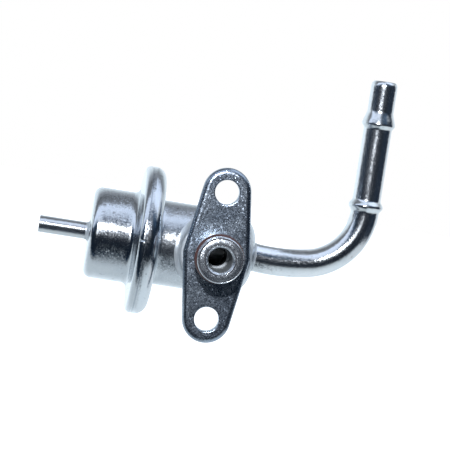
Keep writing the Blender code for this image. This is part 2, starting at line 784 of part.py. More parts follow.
roll_radii = spread(roll_inner_r, roll_outer_r, 6)
bead_outer_r = flange_edge_r - DIAPHRAGM_BEAD_EDGE
spring_side = [(r, CLAMP_X - DIAPHRAGM_WEB / 2 - roll_offset(r)) for r in roll_radii]
fuel_side = [(r, CLAMP_X + DIAPHRAGM_WEB / 2 - roll_offset(r)) for r in reversed(roll_radii)]
turned(
    "diaphragm",
    [
        (hole_r, CLAMP_X - DIAPHRAGM_WEB / 2),
        *spring_side,
        (diaphragm_bead_r, CLAMP_X - DIAPHRAGM_WEB / 2),
        (diaphragm_bead_r + DIAPHRAGM_BEAD_EDGE, CLAMP_X - DIAPHRAGM_BEAD / 2),
        (bead_outer_r, CLAMP_X - DIAPHRAGM_BEAD / 2),
        (bead_outer_r, CLAMP_X + DIAPHRAGM_BEAD / 2),
        (diaphragm_bead_r + DIAPHRAGM_BEAD_EDGE, CLAMP_X + DIAPHRAGM_BEAD / 2),
        (diaphragm_bead_r, CLAMP_X + DIAPHRAGM_WEB / 2),
        *fuel_side,
        (hole_r, CLAMP_X + DIAPHRAGM_WEB / 2),
    ],
    HIDDEN,
    BLACK_RUBBER,
    BODY_AXIS,
)

# Spring plate, on the diaphragm's spring side
plate_right_x = CLAMP_X - DIAPHRAGM_WEB / 2 - SEAT_GAP
plate_left_x = plate_right_x - PLATE_SHEET
turned(
    "spring_plate",
    rounded(
        [
            (hole_r, plate_right_x, 0),
            (spring_plate_r, plate_right_x, SPRING_PLATE_EDGE),
            (spring_plate_r, plate_left_x - SPRING_PLATE_RIM, 0),
            (spring_plate_r - SPRING_PLATE_WALL, plate_left_x - SPRING_PLATE_RIM, 0),
            (spring_plate_r - SPRING_PLATE_WALL, plate_left_x, TURNED_EDGE),
            (hole_r, plate_left_x, 0),
        ]
    ),
    HIDDEN,
    TURNED_STEEL,
    VALVE_AXIS,
)

# Washers on both sides of the stack
rivet_washer_left_x = plate_left_x - SEAT_GAP - RIVET_WASHER


def washer(name, left_x, thickness, outer_r, edge, parent):
    section = rounded(
        [
            (hole_r, left_x, 0),
            (outer_r, left_x, edge),
            (outer_r, left_x + thickness, edge),
            (hole_r, left_x + thickness, 0),
        ]
    )
    return turned(name, section, SMALL, TURNED_STEEL, parent)


washer("rivet_washer", rivet_washer_left_x, RIVET_WASHER, RIVET_WASHER_R, FINE_EDGE, VALVE_AXIS)
washer("clamp_washer", clamp_washer_left_x, CLAMP_WASHER, CLAMP_WASHER_R, SMALL_EDGE, VALVE_AXIS)

# Valve holder: riveted head, stem, flange and the ball's pocket
retainer_left_x = ball_flat_x - RETAINER_SET
retainer_right_x = retainer_left_x + RETAINER
retainer_r = BALL_R + RETAINER_WIDTH
holder_right_x = retainer_right_x + RETAINER_SET
head_right_x = rivet_washer_left_x - SEAT_GAP
head_left_x = head_right_x - STEM_HEAD
pocket_r = BALL_R + POCKET_PLAY
seat_r = retainer_r + SEAT_GAP
holder_r = seat_r + HOLDER_WALL
holder_section = rounded(
    [
        (0, head_left_x, 0),
        (STEM_HEAD_R, head_left_x, ROUND_EDGE),
        (STEM_HEAD_R, head_right_x, 0),
        (STEM_R, head_right_x, 0),
        (STEM_R, flange_left_x, 0),
        (HOLDER_FLANGE_R, flange_left_x, 0),
        (HOLDER_FLANGE_R, flange_right_x, TURNED_EDGE),
        (holder_r, flange_right_x, 0),
        (holder_r, holder_right_x, SMALL_EDGE),
        (seat_r, holder_right_x, 0),
        (seat_r, retainer_left_x - SEAT_GAP, 0),
        (pocket_r, retainer_left_x - SEAT_GAP, 0),
        (pocket_r, pocket_floor_x, 0),
        (0, pocket_floor_x, 0),
    ]
)
turned("valve_holder", holder_section, SMALL, TURNED_STEEL, VALVE_AXIS, closed=False)

flat_angle = acos(BALL_FLAT / BALL_R)
ball_section = [(0, ball_x - BALL_R)]
for k in range(1, 9):
    t = pi - (pi - flat_angle) * k / 8
    ball_section.append((BALL_R * sin(t), ball_x + BALL_R * cos(t)))
ball_section.append((0, ball_flat_x))
turned("valve_ball", ball_section, SMALL, POLISHED, VALVE_AXIS, closed=False)

turned(
    "ball_retainer",
    [
        (retainer_hole_r, retainer_left_x),
        (retainer_r, retainer_left_x),
        (retainer_r, retainer_right_x),
        (retainer_hole_r, retainer_right_x),
    ],
    SMALL,
    TURNED_STEEL,
    VALVE_AXIS,
)

coil(
    "ball_spring",
    BALL_COIL_R,
    BALL_WIRE_R,
    pocket_floor_x + SEAT_GAP / 2,
    ball_spring_end_x,
    BALL_COIL_PITCH,
    0.3,
    12,
    SPRING_STEEL,
    VALVE_AXIS,
)

# Upper spring seat and main spring
upper_left_x = cover_end_x + COVER_SHEET + SEAT_GAP
upper_right_x = upper_left_x + UPPER_SEAT_SHEET
upper_seat_r = cover_inner_r - UPPER_SEAT_PLAY
spring_coil_r = spring_plate_r - SPRING_PLATE_WALL - SPRING_PLAY - SPRING_WIRE_R
upper_hub_r = spring_coil_r - SPRING_WIRE_R - UPPER_SEAT_HUB_PLAY
turned(
    "upper_spring_seat",
    rounded(
        [
            (NIPPLE_R + 2 * SEAT_GAP, upper_left_x, 0),
            (upper_seat_r, upper_left_x, TURNED_EDGE),
            (upper_seat_r, upper_right_x, 0),
            (upper_hub_r, upper_right_x, 0),
            (upper_hub_r, upper_right_x + UPPER_SEAT_HUB, TURNED_EDGE),
            (upper_hub_r - UPPER_SEAT_HUB_WALL, upper_right_x + UPPER_SEAT_HUB, 0),
            (upper_hub_r - UPPER_SEAT_HUB_WALL, upper_right_x, 0),
            (NIPPLE_R + 2 * SEAT_GAP, upper_right_x, 0),
        ]
    ),
    SMALL,
    TURNED_STEEL,
    BODY_AXIS,
)
coil(
    "main_spring",
    spring_coil_r,
    SPRING_WIRE_R,
    upper_right_x + SEAT_GAP,
    plate_left_x - SEAT_GAP,
    SPRING_PITCH,
    SPRING_DEAD_TURNS,
    16,
    SPRING_STEEL,
    BODY_AXIS,
)
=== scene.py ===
"""Dressed model of a diaphragm fuel pressure regulator with a two-bolt port flange and a bent return tube.

Metres, +Z up. The origin is on the inlet spigot's axis, in the front face of the flange.
The spigot points to -Y, the regulator's own axis runs along X, and the return tube turns up to +Z.
Each outer piece is a finely meshed twin of the node that it replaces, on the same dimensions.
The sizes below are in millimetres, and become metres where a point is placed.
"""
from math import acos, atan2, ceil, cos, exp, hypot, pi, radians, sin, sqrt, tan

import bmesh
import bpy
from mathutils import Matrix, Vector


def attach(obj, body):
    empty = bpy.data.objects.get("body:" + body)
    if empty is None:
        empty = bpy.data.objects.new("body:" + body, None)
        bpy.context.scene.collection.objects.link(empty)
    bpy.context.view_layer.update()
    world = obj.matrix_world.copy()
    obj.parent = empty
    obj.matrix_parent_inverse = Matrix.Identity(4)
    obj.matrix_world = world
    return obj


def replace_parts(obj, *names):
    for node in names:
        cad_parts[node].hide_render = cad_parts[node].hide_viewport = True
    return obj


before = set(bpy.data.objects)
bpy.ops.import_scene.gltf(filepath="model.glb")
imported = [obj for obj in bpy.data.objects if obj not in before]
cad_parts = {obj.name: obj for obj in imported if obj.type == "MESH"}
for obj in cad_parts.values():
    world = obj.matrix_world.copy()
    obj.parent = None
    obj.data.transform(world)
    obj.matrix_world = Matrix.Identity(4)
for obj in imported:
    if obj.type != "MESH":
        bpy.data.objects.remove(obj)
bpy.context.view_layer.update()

MM = 0.001
BODY = "regulator_body"

# Distance of the regulator's axis behind the flange's front face, and the gaps between pieces
AXIS = 16.0
SEAT_GAP = 0.3
BRAZE_GAP = 0.02
BRAZE_SINK = SEAT_GAP - BRAZE_GAP

# Spring cover
COVER_END_X = -35.3
COVER_FLANGE_X = -21.0
COVER_R = 12.85
COVER_SHEET = 1.4
COVER_CORNER_R = 2.2
COVER_INNER_CORNER_R = 1.1
COVER_ROOT_R = 1.7
COVER_DISH = 0.45
RIM_R = 20.9
RIM_BACK_X = -16.2
RIM_FRONT_R = 1.6
RIM_BACK_R = 3.5
RIM_INNER_FRONT_R = 0.8
LIP_SHEET = 1.2
LIP_WIDTH = 3.2
COVER_STEP = 1.2
COVER_FACETS = 240

# Thin line pressed round the rim, crimp notch across its front, and the waviness of rolled sheet
LINE_X = -20.2
LINE_HALF = 0.15
LINE_FLOOR_HALF = 0.05
LINE_DEPTH = 0.18
NOTCH_AT = radians(4.0)
NOTCH_HALF = radians(0.55)
NOTCH_DEPTH = 0.16
NOTCH_FROM_R = 16.0
NOTCH_LEFT_X = -22.6
NOTCH_RIGHT_X = -20.3
NOTCH_ANGLE_STEP = radians(0.25)
WAVES = 3
WAVE_PHASE = 0.7
WAVE_HEIGHT = 0.03
WAVE_FROM_R = 18.5

# Vacuum nipple
NIPPLE_END_X = -49.4
NIPPLE_INNER_X = -32.7
NIPPLE_R = 2.4
NIPPLE_BORE_R = 1.65
NIPPLE_EDGE = 0.2
NIPPLE_BORE_EDGE = 0.12
NIPPLE_BRAZE = 0.95
NIPPLE_STEP = 1.0
NIPPLE_FACETS = 96

# Lower housing
HOUSING_END_X = 11.4
HOUSING_MOUTH_X = -19.2
HOUSING_LIP_X = -16.1
HOUSING_R = 12.0
HOUSING_WALL = 1.7
HOUSING_END_WALL = 1.8
HOUSING_SHOULDER_R = 7.6
HOUSING_ROOT_R = 0.7
HOUSING_LIP_EDGE = 0.4
HOUSING_MOUTH_R = 13.6
HOUSING_MOUTH_DEPTH = 1.9
HOUSING_STEP = 1.2
HOUSING_FACETS = 240
PORT_HOLE_R = 4.5
PORT_HOLE_DEPTH = 9.0
DRILL_CORE_R = 0.01
DRILL_FACETS = 96

# Mounting flange
PLATE = 3.0
HALF_SPACING = 17.7
PLATE_END_R = 6.7
PLATE_HALF_WIDTH = 9.35
PLATE_WAIST_R = 4.0
PLATE_EDGE_R = 1.45
PLATE_EDGE_STEPS = 8
PLATE_END_STEPS = 48
PLATE_WAIST_STEPS = 16
PLATE_OUTLINE_STEP = 0.8
PLATE_SHARP = 28.0
BOLT_HOLE_R = 3.4
BOLT_HOLE_EDGE = 0.35
BOLT_HOLE_FACETS = 72
SPIGOT_HOLE_R = 6.35
SPIGOT_HOLE_EDGE = 0.06
SPIGOT_HOLE_FACETS = 96
HOLE_EDGE_STEPS = 4
RIM_MARGIN = 0.1
HOLE_MARGIN = 0.08

# Inlet fitting, measured from the flange's front face
SPIGOT_R = 6.3
SPIGOT_LENGTH = 12.0
SPIGOT_BORE_R = 3.35
THROAT_R = 2.8
THROAT_EDGE = 0.1
GROOVE_DEPTH = 2.0
GROOVE_WIDTH = 2.8
LIP_LENGTH = 2.9
LIP_EDGE = 0.12
BASE_R = 10.15
BASE_FRONT = -(PLATE + SEAT_GAP)
BASE_FOOT = -9.35
BASE_EDGE_R = 0.8
FOOT_MARGIN = 0.05
FITTING_STEP = 0.9
FITTING_FACETS = 192
BASE_BRAZE = 1.1
BASE_BRAZE_EDGE = 0.15
BASE_BRAZE_TOE = 0.05
BASE_BRAZE_THINNING = 0.5
BASE_BRAZE_STEPS = 12
BASE_BRAZE_FACETS = 160

# Front of the spigot from the outside in: bevel, ring, faintly domed face, finer ring and chamfer.
# Each corner has its radius, its depth under the front and its fillet.
SPIGOT_FRONT = [
    (SPIGOT_R, 0.40, 0.20),
    (6.00, 0.08, 0.06),
    (5.94, 0.45, 0.00),
    (5.72, 0.45, 0.00),
    (5.66, 0.12, 0.05),
    (4.95, 0.00, 3.00),
    (4.32, 0.00, 0.04),
    (4.26, 0.20, 0.00),
    (4.12, 0.20, 0.00),
    (4.04, 0.02, 0.04),
    (3.93, 0.02, 0.10),
    (SPIGOT_BORE_R, 0.60, 0.30),
]
# Where the two rings get a near-black colour as painted shade: inner and outer radius, least and greatest
# depth
RING_FLOORS = [(5.6, 6.0, 0.2, 0.5), (4.1, 4.3, 0.05, 0.3)]
# The bore has a darker matt finish as painted shade inside this radius and below this depth, and the base is
# brazed outside and behind these
SHADE_INSIDE_R = 3.4
SHADE_INSIDE_DEPTH = 0.5
BRAZED_FROM_R = 7.0
BRAZED_BEHIND = 3.0

# Seal, which stands proud of the spigot
ORING_R = 1.15
ORING_PROUD = 0.5
ORING_FACETS = 160
ORING_SECTION_FACETS = 28

# Return tube
TUBE_R = 4.0
TUBE_BORE_R = 3.0
TUBE_BRAZE = 0.8
TUBE_BRAZE_FACETS = 128
SAG_START_X = 10.8
SAG_R = 12.0
SAG = radians(5.5)
SWEEP_R = 55.0
SWEEP = radians(16.0)
BEND_R = 17.1
LEAN = radians(0.75)
RISE = 37.4
BEAD_AT = 1.75
BEAD_HEIGHT = 0.9
BEAD_HALF = 1.9
BARB_AT = 25.2
BARB_R = 4.72
BARB_BACK = 1.5
BARB_CONE = 3.6
BARB_STRAIGHTNESS = 0.6
TIP_R = 3.72
TIP_BORE_R = 2.75
TIP_NOSE = 1.6
TIP_NOSE_R = 0.95
TIP_NOSE_STEPS = 12
# The tube's inner end, up to this x, gets the darker matt finish as painted shade
SHADE_INSIDE_TUBE_X = 10.0
TUBE_FACETS = 96
BORE_STEP = 1.5
# Steps along the tube's outside, finer from and to these distances along the rise
TUBE_STEP = 0.6
TUBE_FINE_STEP = 0.2
FINE_BEAD = (-0.5, 4.2)
FINE_BARB = (BARB_AT - 2.0, BARB_AT + 4.2)


# node helpers
class Graph:
    """Short way to add and join shader nodes."""

    def __init__(self, tree):
        self.tree = tree

    def add(self, kind, **values):
        node = self.tree.nodes.new(kind)
        for key, value in values.items():
            setattr(node, key, value)
        return node

    def join(self, source, target):
        self.tree.links.new(source, target)

    def feed(self, socket, value):
        if isinstance(value, bpy.types.NodeSocket):
            self.join(value, socket)
        else:
            socket.default_value = value

    def math(self, operation, a, b=0.0, clamp=False):
        node = self.add("ShaderNodeMath", operation=operation, use_clamp=clamp)
        self.feed(node.inputs[0], a)
        self.feed(node.inputs[1], b)
        return node.outputs[0]

    def rest(self, value):
        """One minus the value."""
        return self.math("SUBTRACT", 1.0, value)

    def vector(self, operation, a, b=None, scale=None):
        node = self.add("ShaderNodeVectorMath", operation=operation)
        self.feed(node.inputs[0], a)
        if b is not None:
            self.feed(node.inputs[1], b)
        if scale is not None:
            self.feed(node.inputs["Scale"], scale)
        return node.outputs[0]

    def axes(self, vector):
        node = self.add("ShaderNodeSeparateXYZ")
        self.join(vector, node.inputs[0])
        return node.outputs[0], node.outputs[1], node.outputs[2]

    def noise(self, where, per_metre, detail, rough):
        node = self.add("ShaderNodeTexNoise")
        self.join(where, node.inputs["Vector"])
        node.inputs["Scale"].default_value = per_metre
        node.inputs["Detail"].default_value = detail
        node.inputs["Roughness"].default_value = rough
        return node.outputs[0]

    def cells(self, where, size_mm):
        """Colour that changes from cell to cell."""
        node = self.add("ShaderNodeTexVoronoi")
        self.join(where, node.inputs["Vector"])
        node.inputs["Scale"].default_value = 1.0 / (size_mm * MM)
        return node.outputs["Color"]

    def ramp(self, value, stops):
        node = self.add("ShaderNodeValToRGB")
        points = node.color_ramp.elements
        while len(points) > 1:
            points.remove(points[-1])
        first, color = stops[0]
        points[0].position = first
        points[0].color = (*color, 1.0)
        for at, color in stops[1:]:
            point = points.new(at)
            point.color = (*color, 1.0)
        self.join(value, node.inputs[0])
        return node.outputs[0]

    def step(self, value, low, high):
        """Smooth step from 0 at low to 1 at high."""
        node = self.add("ShaderNodeMapRange", interpolation_type="SMOOTHSTEP")
        self.feed(node.inputs[0], value)
        node.inputs[1].default_value = low
        node.inputs[2].default_value = high
        return node.outputs[0]

    def mix(self, share, a, b):
        node = self.add("ShaderNodeMix", data_type="RGBA")
        self.feed(node.inputs[0], share)
        self.feed(node.inputs[6], a)
        self.feed(node.inputs[7], b)
        return node.outputs[2]

    def bump(self, height, strength, normal=None):
        node = self.add("ShaderNodeBump")
        node.inputs["Strength"].default_value = strength
        node.inputs["Distance"].default_value = BUMP_DEPTH
        self.join(height, node.inputs["Height"])
        if normal is not None:
            self.join(normal, node.inputs["Normal"])
        return node.outputs[0]


# materials
BUMP_DEPTH = 0.02 * MM
BLACK = (0.0, 0.0, 0.0)
WHITE = (1.0, 1.0, 1.0)
MIDDLE = (0.5, 0.5, 0.5)

# Plating: noise is in features per metre
GRAIN = 4500.0
CLOUDS = 130.0
SPECKS = 700.0
SPECK_COLOR = (0.16, 0.15, 0.14, 1.0)
SPECK_SHARE = 0.3
FLAKE_TO_CRYSTAL = 2.6
CRYSTAL_LEAN = 8.0
FLAKE_LEAN = 0.35
DUSKY_SHARE = 0.22
CLOUD_ROUGHNESS = 0.3
CRYSTAL_ROUGHNESS = 0.10
RISER_FROM_Z = 0.010
RISER_TO_Z = 0.022

# Rubber
BLOOM = 400.0
FINE = 3000.0
FINE_ROUGHNESS = 0.2
RUBBER_BUMP = 0.25


def shaded_material(name):
    mat = bpy.data.materials.new(name)
    mat.use_nodes = True
    return mat, Graph(mat.node_tree), mat.node_tree.nodes["Principled BSDF"].inputs


def crystal_normal(g, crystals, flakes, tilt):
    """Surface direction in which each crystal leans its own way, a few of them strongly."""
    normal = g.add("ShaderNodeNewGeometry").outputs["Normal"]
    lean = g.vector("SUBTRACT", crystals, MIDDLE)
    wide = g.vector("SUBTRACT", flakes, MIDDLE)
    lean = g.vector("MULTIPLY", lean, g.vector("MULTIPLY", lean, lean))
    lean = g.vector("SCALE", lean, scale=tilt * CRYSTAL_LEAN)
    wide = g.vector("SCALE", wide, scale=tilt * FLAKE_LEAN)
    return g.vector("NORMALIZE", g.vector("ADD", g.vector("ADD", normal, lean), wide))


def plated(name, color, deep, roughness, tilt, bump, cloud=0.2, crystal_mm=0.2, matte=0.0, riser=0.0):
    """Zinc-plated steel with leaning crystals, fine grain, cloudy tone and faint specks.

    Matte is how far the finish is from metal, and riser is the roughness added higher up.
    """
    mat, g, shader = shaded_material(name)
    shader["Metallic"].default_value = 1.0 - matte
    place = g.add("ShaderNodeTexCoord").outputs["Object"]
    crystals = g.cells(place, crystal_mm)
    flakes = g.cells(place, crystal_mm * FLAKE_TO_CRYSTAL)
    clouds = g.noise(place, CLOUDS, detail=5.0, rough=0.6)
    dusk, flatness, _ = g.axes(crystals)
    # Surface
    grain = g.noise(place, GRAIN, detail=4.0, rough=0.62)
    g.join(g.bump(grain, bump, crystal_normal(g, crystals, flakes, tilt)), shader["Normal"])
    # Tone
    tone = g.ramp(clouds, [(0.30, deep), (0.62, color)])
    tone = g.mix(g.math("MULTIPLY", dusk, DUSKY_SHARE), tone, (*deep, 1.0))
    specks = g.ramp(g.noise(place, SPECKS, detail=2.0, rough=0.5), [(0.27, WHITE), (0.31, BLACK)])
    tone = g.mix(g.math("MULTIPLY", specks, SPECK_SHARE), tone, SPECK_COLOR)
    g.join(tone, shader["Base Color"])
    # Roughness
    drift = g.math("MULTIPLY", g.math("SUBTRACT", clouds, 0.5), cloud * CLOUD_ROUGHNESS)
    spread = g.math("MULTIPLY", g.math("SUBTRACT", flatness, 0.5), CRYSTAL_ROUGHNESS)
    total = g.math("ADD", g.math("ADD", drift, spread), roughness, clamp=True)
    if riser:
        height = g.axes(place)[2]
        total = g.math("ADD", total, g.math("MULTIPLY", g.step(height, RISER_FROM_Z, RISER_TO_Z), riser))
    g.join(total, shader["Roughness"])
    return mat


def rubber(name, color, worn, roughness):
    """Moulded rubber with a fine bloom and a little wear."""
    mat, g, shader = shaded_material(name)
    place = g.add("ShaderNodeTexCoord").outputs["Object"]
    fine = g.noise(place, FINE, detail=4.0, rough=0.6)
    bloom = g.noise(place, BLOOM, detail=4.0, rough=0.6)
    g.join(g.ramp(bloom, [(0.35, color), (0.75, worn)]), shader["Base Color"])
    smoothest = roughness - FINE_ROUGHNESS / 2
    g.join(g.math("ADD", g.math("MULTIPLY", fine, FINE_ROUGHNESS), smoothest), shader["Roughness"])
    g.join(g.bump(fine, RUBBER_BUMP), shader["Normal"])
    return mat


ZINC_CUP = plated(
    "zinc_cup",
    color=(0.66, 0.69, 0.72),
    deep=(0.60, 0.64, 0.68),
    roughness=0.15,
    tilt=0.05,
    bump=0.2,
    cloud=0.08,
    crystal_mm=0.24,
)
ZINC_BODY = plated(
    "zinc_body",
    color=(0.62, 0.65, 0.68),
    deep=(0.54, 0.58, 0.62),
    roughness=0.18,
    tilt=0.055,
    bump=0.25,
    crystal_mm=0.24,
    matte=0.03,
)
ZINC_PLATE = plated(
    "zinc_plate",
    color=(0.40, 0.455, 0.515),
    deep=(0.27, 0.325, 0.40),
    roughness=0.275,
    tilt=0.10,
    bump=0.3,
    crystal_mm=0.25,
)
ZINC_TUBE = plated(
    "zinc_tube",
    color=(0.75, 0.77, 0.79),
    deep=(0.67, 0.71, 0.74),
    roughness=0.15,
    tilt=0.055,
    bump=0.2,
    cloud=0.1,
    crystal_mm=0.24,
    matte=0.01,
    riser=0.045,
)
ZINC_SPIGOT = plated(
    "zinc_spigot",
    color=(0.64, 0.67, 0.70),
    deep=(0.52, 0.56, 0.60),
    roughness=0.25,
    tilt=0.11,
    bump=0.25,
    matte=0.03,
)
ZINC_NIPPLE = plated(
    "zinc_nipple",
    color=(0.70, 0.72, 0.74),
    deep=(0.62, 0.65, 0.68),
    roughness=0.13,
    tilt=0.03,
    bump=0.12,
    matte=0.03,
)
BRAZE = plated(
    "zinc_over_braze",
    color=(0.52, 0.56, 0.58),
    deep=(0.42, 0.46, 0.49),
    roughness=0.34,
    tilt=0.09,
    bump=0.4,
    matte=0.45,
)
# Darker matt steel inside the bore and on the tube's inner end: painted shade in there
SHADE_INSIDE = plated(
    "painted_shade_inside_steel",
    color=(0.36, 0.38, 0.39),
    deep=(0.28, 0.30, 0.31),
    roughness=0.42,
    tilt=0.0,
    bump=0.15,
    matte=0.6,
)
# Near-black colour in the two rings of the spigot's face: painted shade in the grooves
GROOVE_SHADE = plated(
    "painted_shade_in_groove",
    color=(0.10, 0.10, 0.11),
    deep=(0.06, 0.06, 0.07),
    roughness=0.45,
    tilt=0.0,
    bump=0.15,
    matte=0.5,
)
STEEL = plated(
    "turned_steel",
    color=(0.56, 0.56, 0.57),
    deep=(0.46, 0.46, 0.47),
    roughness=0.25,
    tilt=0.04,
    bump=0.3,
)
WIRE = plated(
    "spring_wire",
    color=(0.36, 0.37, 0.39),
    deep=(0.27, 0.28, 0.30),
    roughness=0.33,
    tilt=0.04,
    bump=0.3,
)
BALL = plated(
    "lapped_steel",
    color=(0.75, 0.75, 0.77),
    deep=(0.68, 0.68, 0.70),
    roughness=0.07,
    tilt=0.01,
    bump=0.05,
)
BROWN_RUBBER = rubber(
    "brown_rubber",
    color=(0.042, 0.017, 0.015),
    worn=(0.085, 0.034, 0.030),
    roughness=0.40,
)
BLACK_FABRIC = rubber(
    "coated_fabric",
    color=(0.030, 0.030, 0.034),
    worn=(0.06, 0.06, 0.065),
    roughness=0.68,
)


# mesh helpers
MERGE_METRES = 1e-8
SHARP = 32.0
BRAZE_STEPS = 12
FILLET_STEP = radians(7.0)
# Share of a straight run that a fillet may take up, next to another fillet and next to a sharp corner
ROUND_SHARE = 0.5
SHARP_SHARE = 0.98


def rounded(corners):
    """Points of a closed section whose corners (radius, axial, fillet) are rounded finely."""
    points = []
    count = len(corners)
    for i, (r, a, fillet) in enumerate(corners):
        if fillet <= 0.0:
            points.append((r, a))
            continue
        last = corners[i - 1]
        following = corners[(i + 1) % count]
        here = Vector((r, a))
        before = Vector(last[:2]) - here
        after = Vector(following[:2]) - here
        back = before.normalized()
        on = after.normalized()
        turn = acos(max(-1.0, min(1.0, back.dot(on))))
        room_before = before.length * (ROUND_SHARE if last[2] > 0 else SHARP_SHARE)
        room_after = after.length * (ROUND_SHARE if following[2] > 0 else SHARP_SHARE)
        reach = min(fillet / tan(turn / 2), room_before, room_after)
        radius = reach * tan(turn / 2)
        start = here + back * reach
        end = here + on * reach
        middle = here + (back + on).normalized() * (radius / sin(turn / 2))
        first = atan2(start.y - middle.y, start.x - middle.x)
        final = atan2(end.y - middle.y, end.x - middle.x)
        sweep = (final - first + pi) % (2 * pi) - pi
        steps = max(2, ceil(abs(sweep) / FILLET_STEP))
        for k in range(steps + 1):
            t = first + sweep * k / steps
            points.append((middle.x + radius * cos(t), middle.y + radius * sin(t)))
    return points


def divided(section, longest):
    """The same section with its long straight runs divided, so that shading and shaping stay even."""
    made = []
    for (r0, a0), (r1, a1) in zip(section, section[1:] + section[:1]):
        parts = max(1, ceil(hypot(r1 - r0, a1 - a0) / longest))
        made.extend((r0 + (r1 - r0) * k / parts, a0 + (a1 - a0) * k / parts) for k in range(parts))
    return made


def finish(name, bm, mat, sharp=SHARP):
    """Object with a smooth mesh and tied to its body. Edges over sharp degrees stay sharp."""
    bmesh.ops.remove_doubles(bm, verts=bm.verts, dist=MERGE_METRES)
    bmesh.ops.recalc_face_normals(bm, faces=bm.faces)
    mesh = bpy.data.meshes.new(name)
    bm.to_mesh(mesh)
    bm.free()
    mesh.materials.append(mat)
    mesh.shade_smooth()
    mesh.set_sharp_from_angle(angle=radians(sharp))
    obj = bpy.data.objects.new(name, mesh)
    bpy.context.scene.collection.objects.link(obj)
    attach(obj, BODY)
    return obj


def second_finish(obj, mat, inside):
    """Another finish on the faces whose middle, in millimetres, is inside."""
    obj.data.materials.append(mat)
    last = len(obj.data.materials) - 1
    for face in obj.data.polygons:
        if inside(*(c / MM for c in face.center)):
            face.material_index = last


def skin(bm, loops, closed=True):
    """Faces between each loop of vertices and the next one, and from the last to the first if closed."""
    following = loops[1:] + loops[:1] if closed else loops[1:]
    for near, far in zip(loops, following):
        count = len(near)
        for i in range(count):
            j = (i + 1) % count
            bm.faces.new((near[i], near[j], far[j], far[i]))


def on_body(r, a, t):
    """A point round the regulator's axis: t is 0 towards the camera and grows upwards."""
    return Vector((a, AXIS - r * cos(t), r * sin(t))) * MM


def on_port(r, a, t):
    """A point round the port's axis: a grows away from the flange, towards -Y."""
    return Vector((r * cos(t), -a, r * sin(t))) * MM


def around(facets):
    """Evenly spaced angles of a full turn."""
    return [2 * pi * k / facets for k in range(facets)]


def turned(name, section, place, mat, angles, shape=None):
    """Skin of a closed section of (radius, axial) points, turned about an axis."""
    bm = bmesh.new()
    loops = []
    for r, a in section:
        loops.append([bm.verts.new(place(*(shape(r, a, t) if shape else (r, a)), t)) for t in angles])
    skin(bm, loops)
    return finish(name, bm, mat)


def fillet_section(foot_r, face, size, outward):
    """Concave braze fillet that meets a tube and a face. Outward is 1 or -1 along the axis."""
    sunk = face - outward * BRAZE_SINK
    points = [(foot_r - BRAZE_GAP, sunk)]
    for k in range(BRAZE_STEPS + 1):
        t = pi / 2 * k / BRAZE_STEPS
        points.append((foot_r + size * (1 - cos(t)), face + outward * size * (1 - sin(t))))
    points.append((foot_r + size, sunk))
    return points


# spring cover
def cover_section():
    hole_r = NIPPLE_R + SEAT_GAP
    flange_front = COVER_FLANGE_X - COVER_SHEET
    inner_r = COVER_R - COVER_SHEET
    end_inner_x = COVER_END_X + COVER_SHEET
    lip_r = RIM_R - LIP_WIDTH
    lip_inner_x = RIM_BACK_X - LIP_SHEET
    rim_inner_r = RIM_R - LIP_SHEET
    return rounded(
        [
            (hole_r, COVER_END_X, 0),
            (COVER_R, COVER_END_X, COVER_CORNER_R),
            (COVER_R, flange_front - COVER_DISH, COVER_ROOT_R),
            (RIM_R, flange_front + COVER_DISH, RIM_FRONT_R),
            (RIM_R, LINE_X - LINE_HALF, 0),
            (RIM_R - LINE_DEPTH, LINE_X - LINE_FLOOR_HALF, 0),
            (RIM_R - LINE_DEPTH, LINE_X + LINE_FLOOR_HALF, 0),
            (RIM_R, LINE_X + LINE_HALF, 0),
            (RIM_R, RIM_BACK_X, RIM_BACK_R),
            (lip_r, RIM_BACK_X, 0),
            (lip_r, lip_inner_x, 0),
            (rim_inner_r, lip_inner_x, RIM_BACK_R - LIP_SHEET),
            (rim_inner_r, COVER_FLANGE_X, RIM_INNER_FRONT_R),
            (inner_r, COVER_FLANGE_X, COVER_ROOT_R + COVER_SHEET),
            (inner_r, end_inner_x, COVER_INNER_CORNER_R),
            (hole_r, end_inner_x, 0),
        ]
    )


def cover_shape(r, a, t):
    """The crimp notch in the rim's front half, and the slight unevenness of rolled sheet."""
    off = (t - NOTCH_AT + pi) % (2 * pi) - pi
    if r > NOTCH_FROM_R and NOTCH_LEFT_X < a < NOTCH_RIGHT_X:
        r -= NOTCH_DEPTH * exp(-((off / NOTCH_HALF) ** 2))
    if r > WAVE_FROM_R:
        r += WAVE_HEIGHT * sin(WAVES * t + WAVE_PHASE) * (r - WAVE_FROM_R) / (RIM_R - WAVE_FROM_R)
    return r, a


def spring_cover():
    at_notch = {NOTCH_AT + k * NOTCH_ANGLE_STEP for k in range(-5, 6)}
    angles = sorted(set(around(COVER_FACETS)) | at_notch)
    section = divided(cover_section(), COVER_STEP)
    return turned("cover_shell", section, on_body, ZINC_CUP, angles, cover_shape)


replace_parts(spring_cover(), "spring_cover")


# vacuum nipple and its fillet
def vacuum_nipple():
    section = rounded(
        [
            (NIPPLE_BORE_R, NIPPLE_END_X, NIPPLE_BORE_EDGE),
            (NIPPLE_R, NIPPLE_END_X, NIPPLE_EDGE),
            (NIPPLE_R, NIPPLE_INNER_X, 0),
            (NIPPLE_BORE_R, NIPPLE_INNER_X, 0),
        ]
    )
    section = divided(section, NIPPLE_STEP)
    return turned("nipple_tube", section, on_body, ZINC_NIPPLE, around(NIPPLE_FACETS))


def nipple_fillet():
    section = fillet_section(NIPPLE_R + BRAZE_GAP, COVER_END_X - BRAZE_GAP, NIPPLE_BRAZE, -1)
    return turned("nipple_fillet", section, on_body, BRAZE, around(NIPPLE_FACETS))


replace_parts(vacuum_nipple(), "vacuum_nipple")
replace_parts(nipple_fillet(), "nipple_braze_ring")


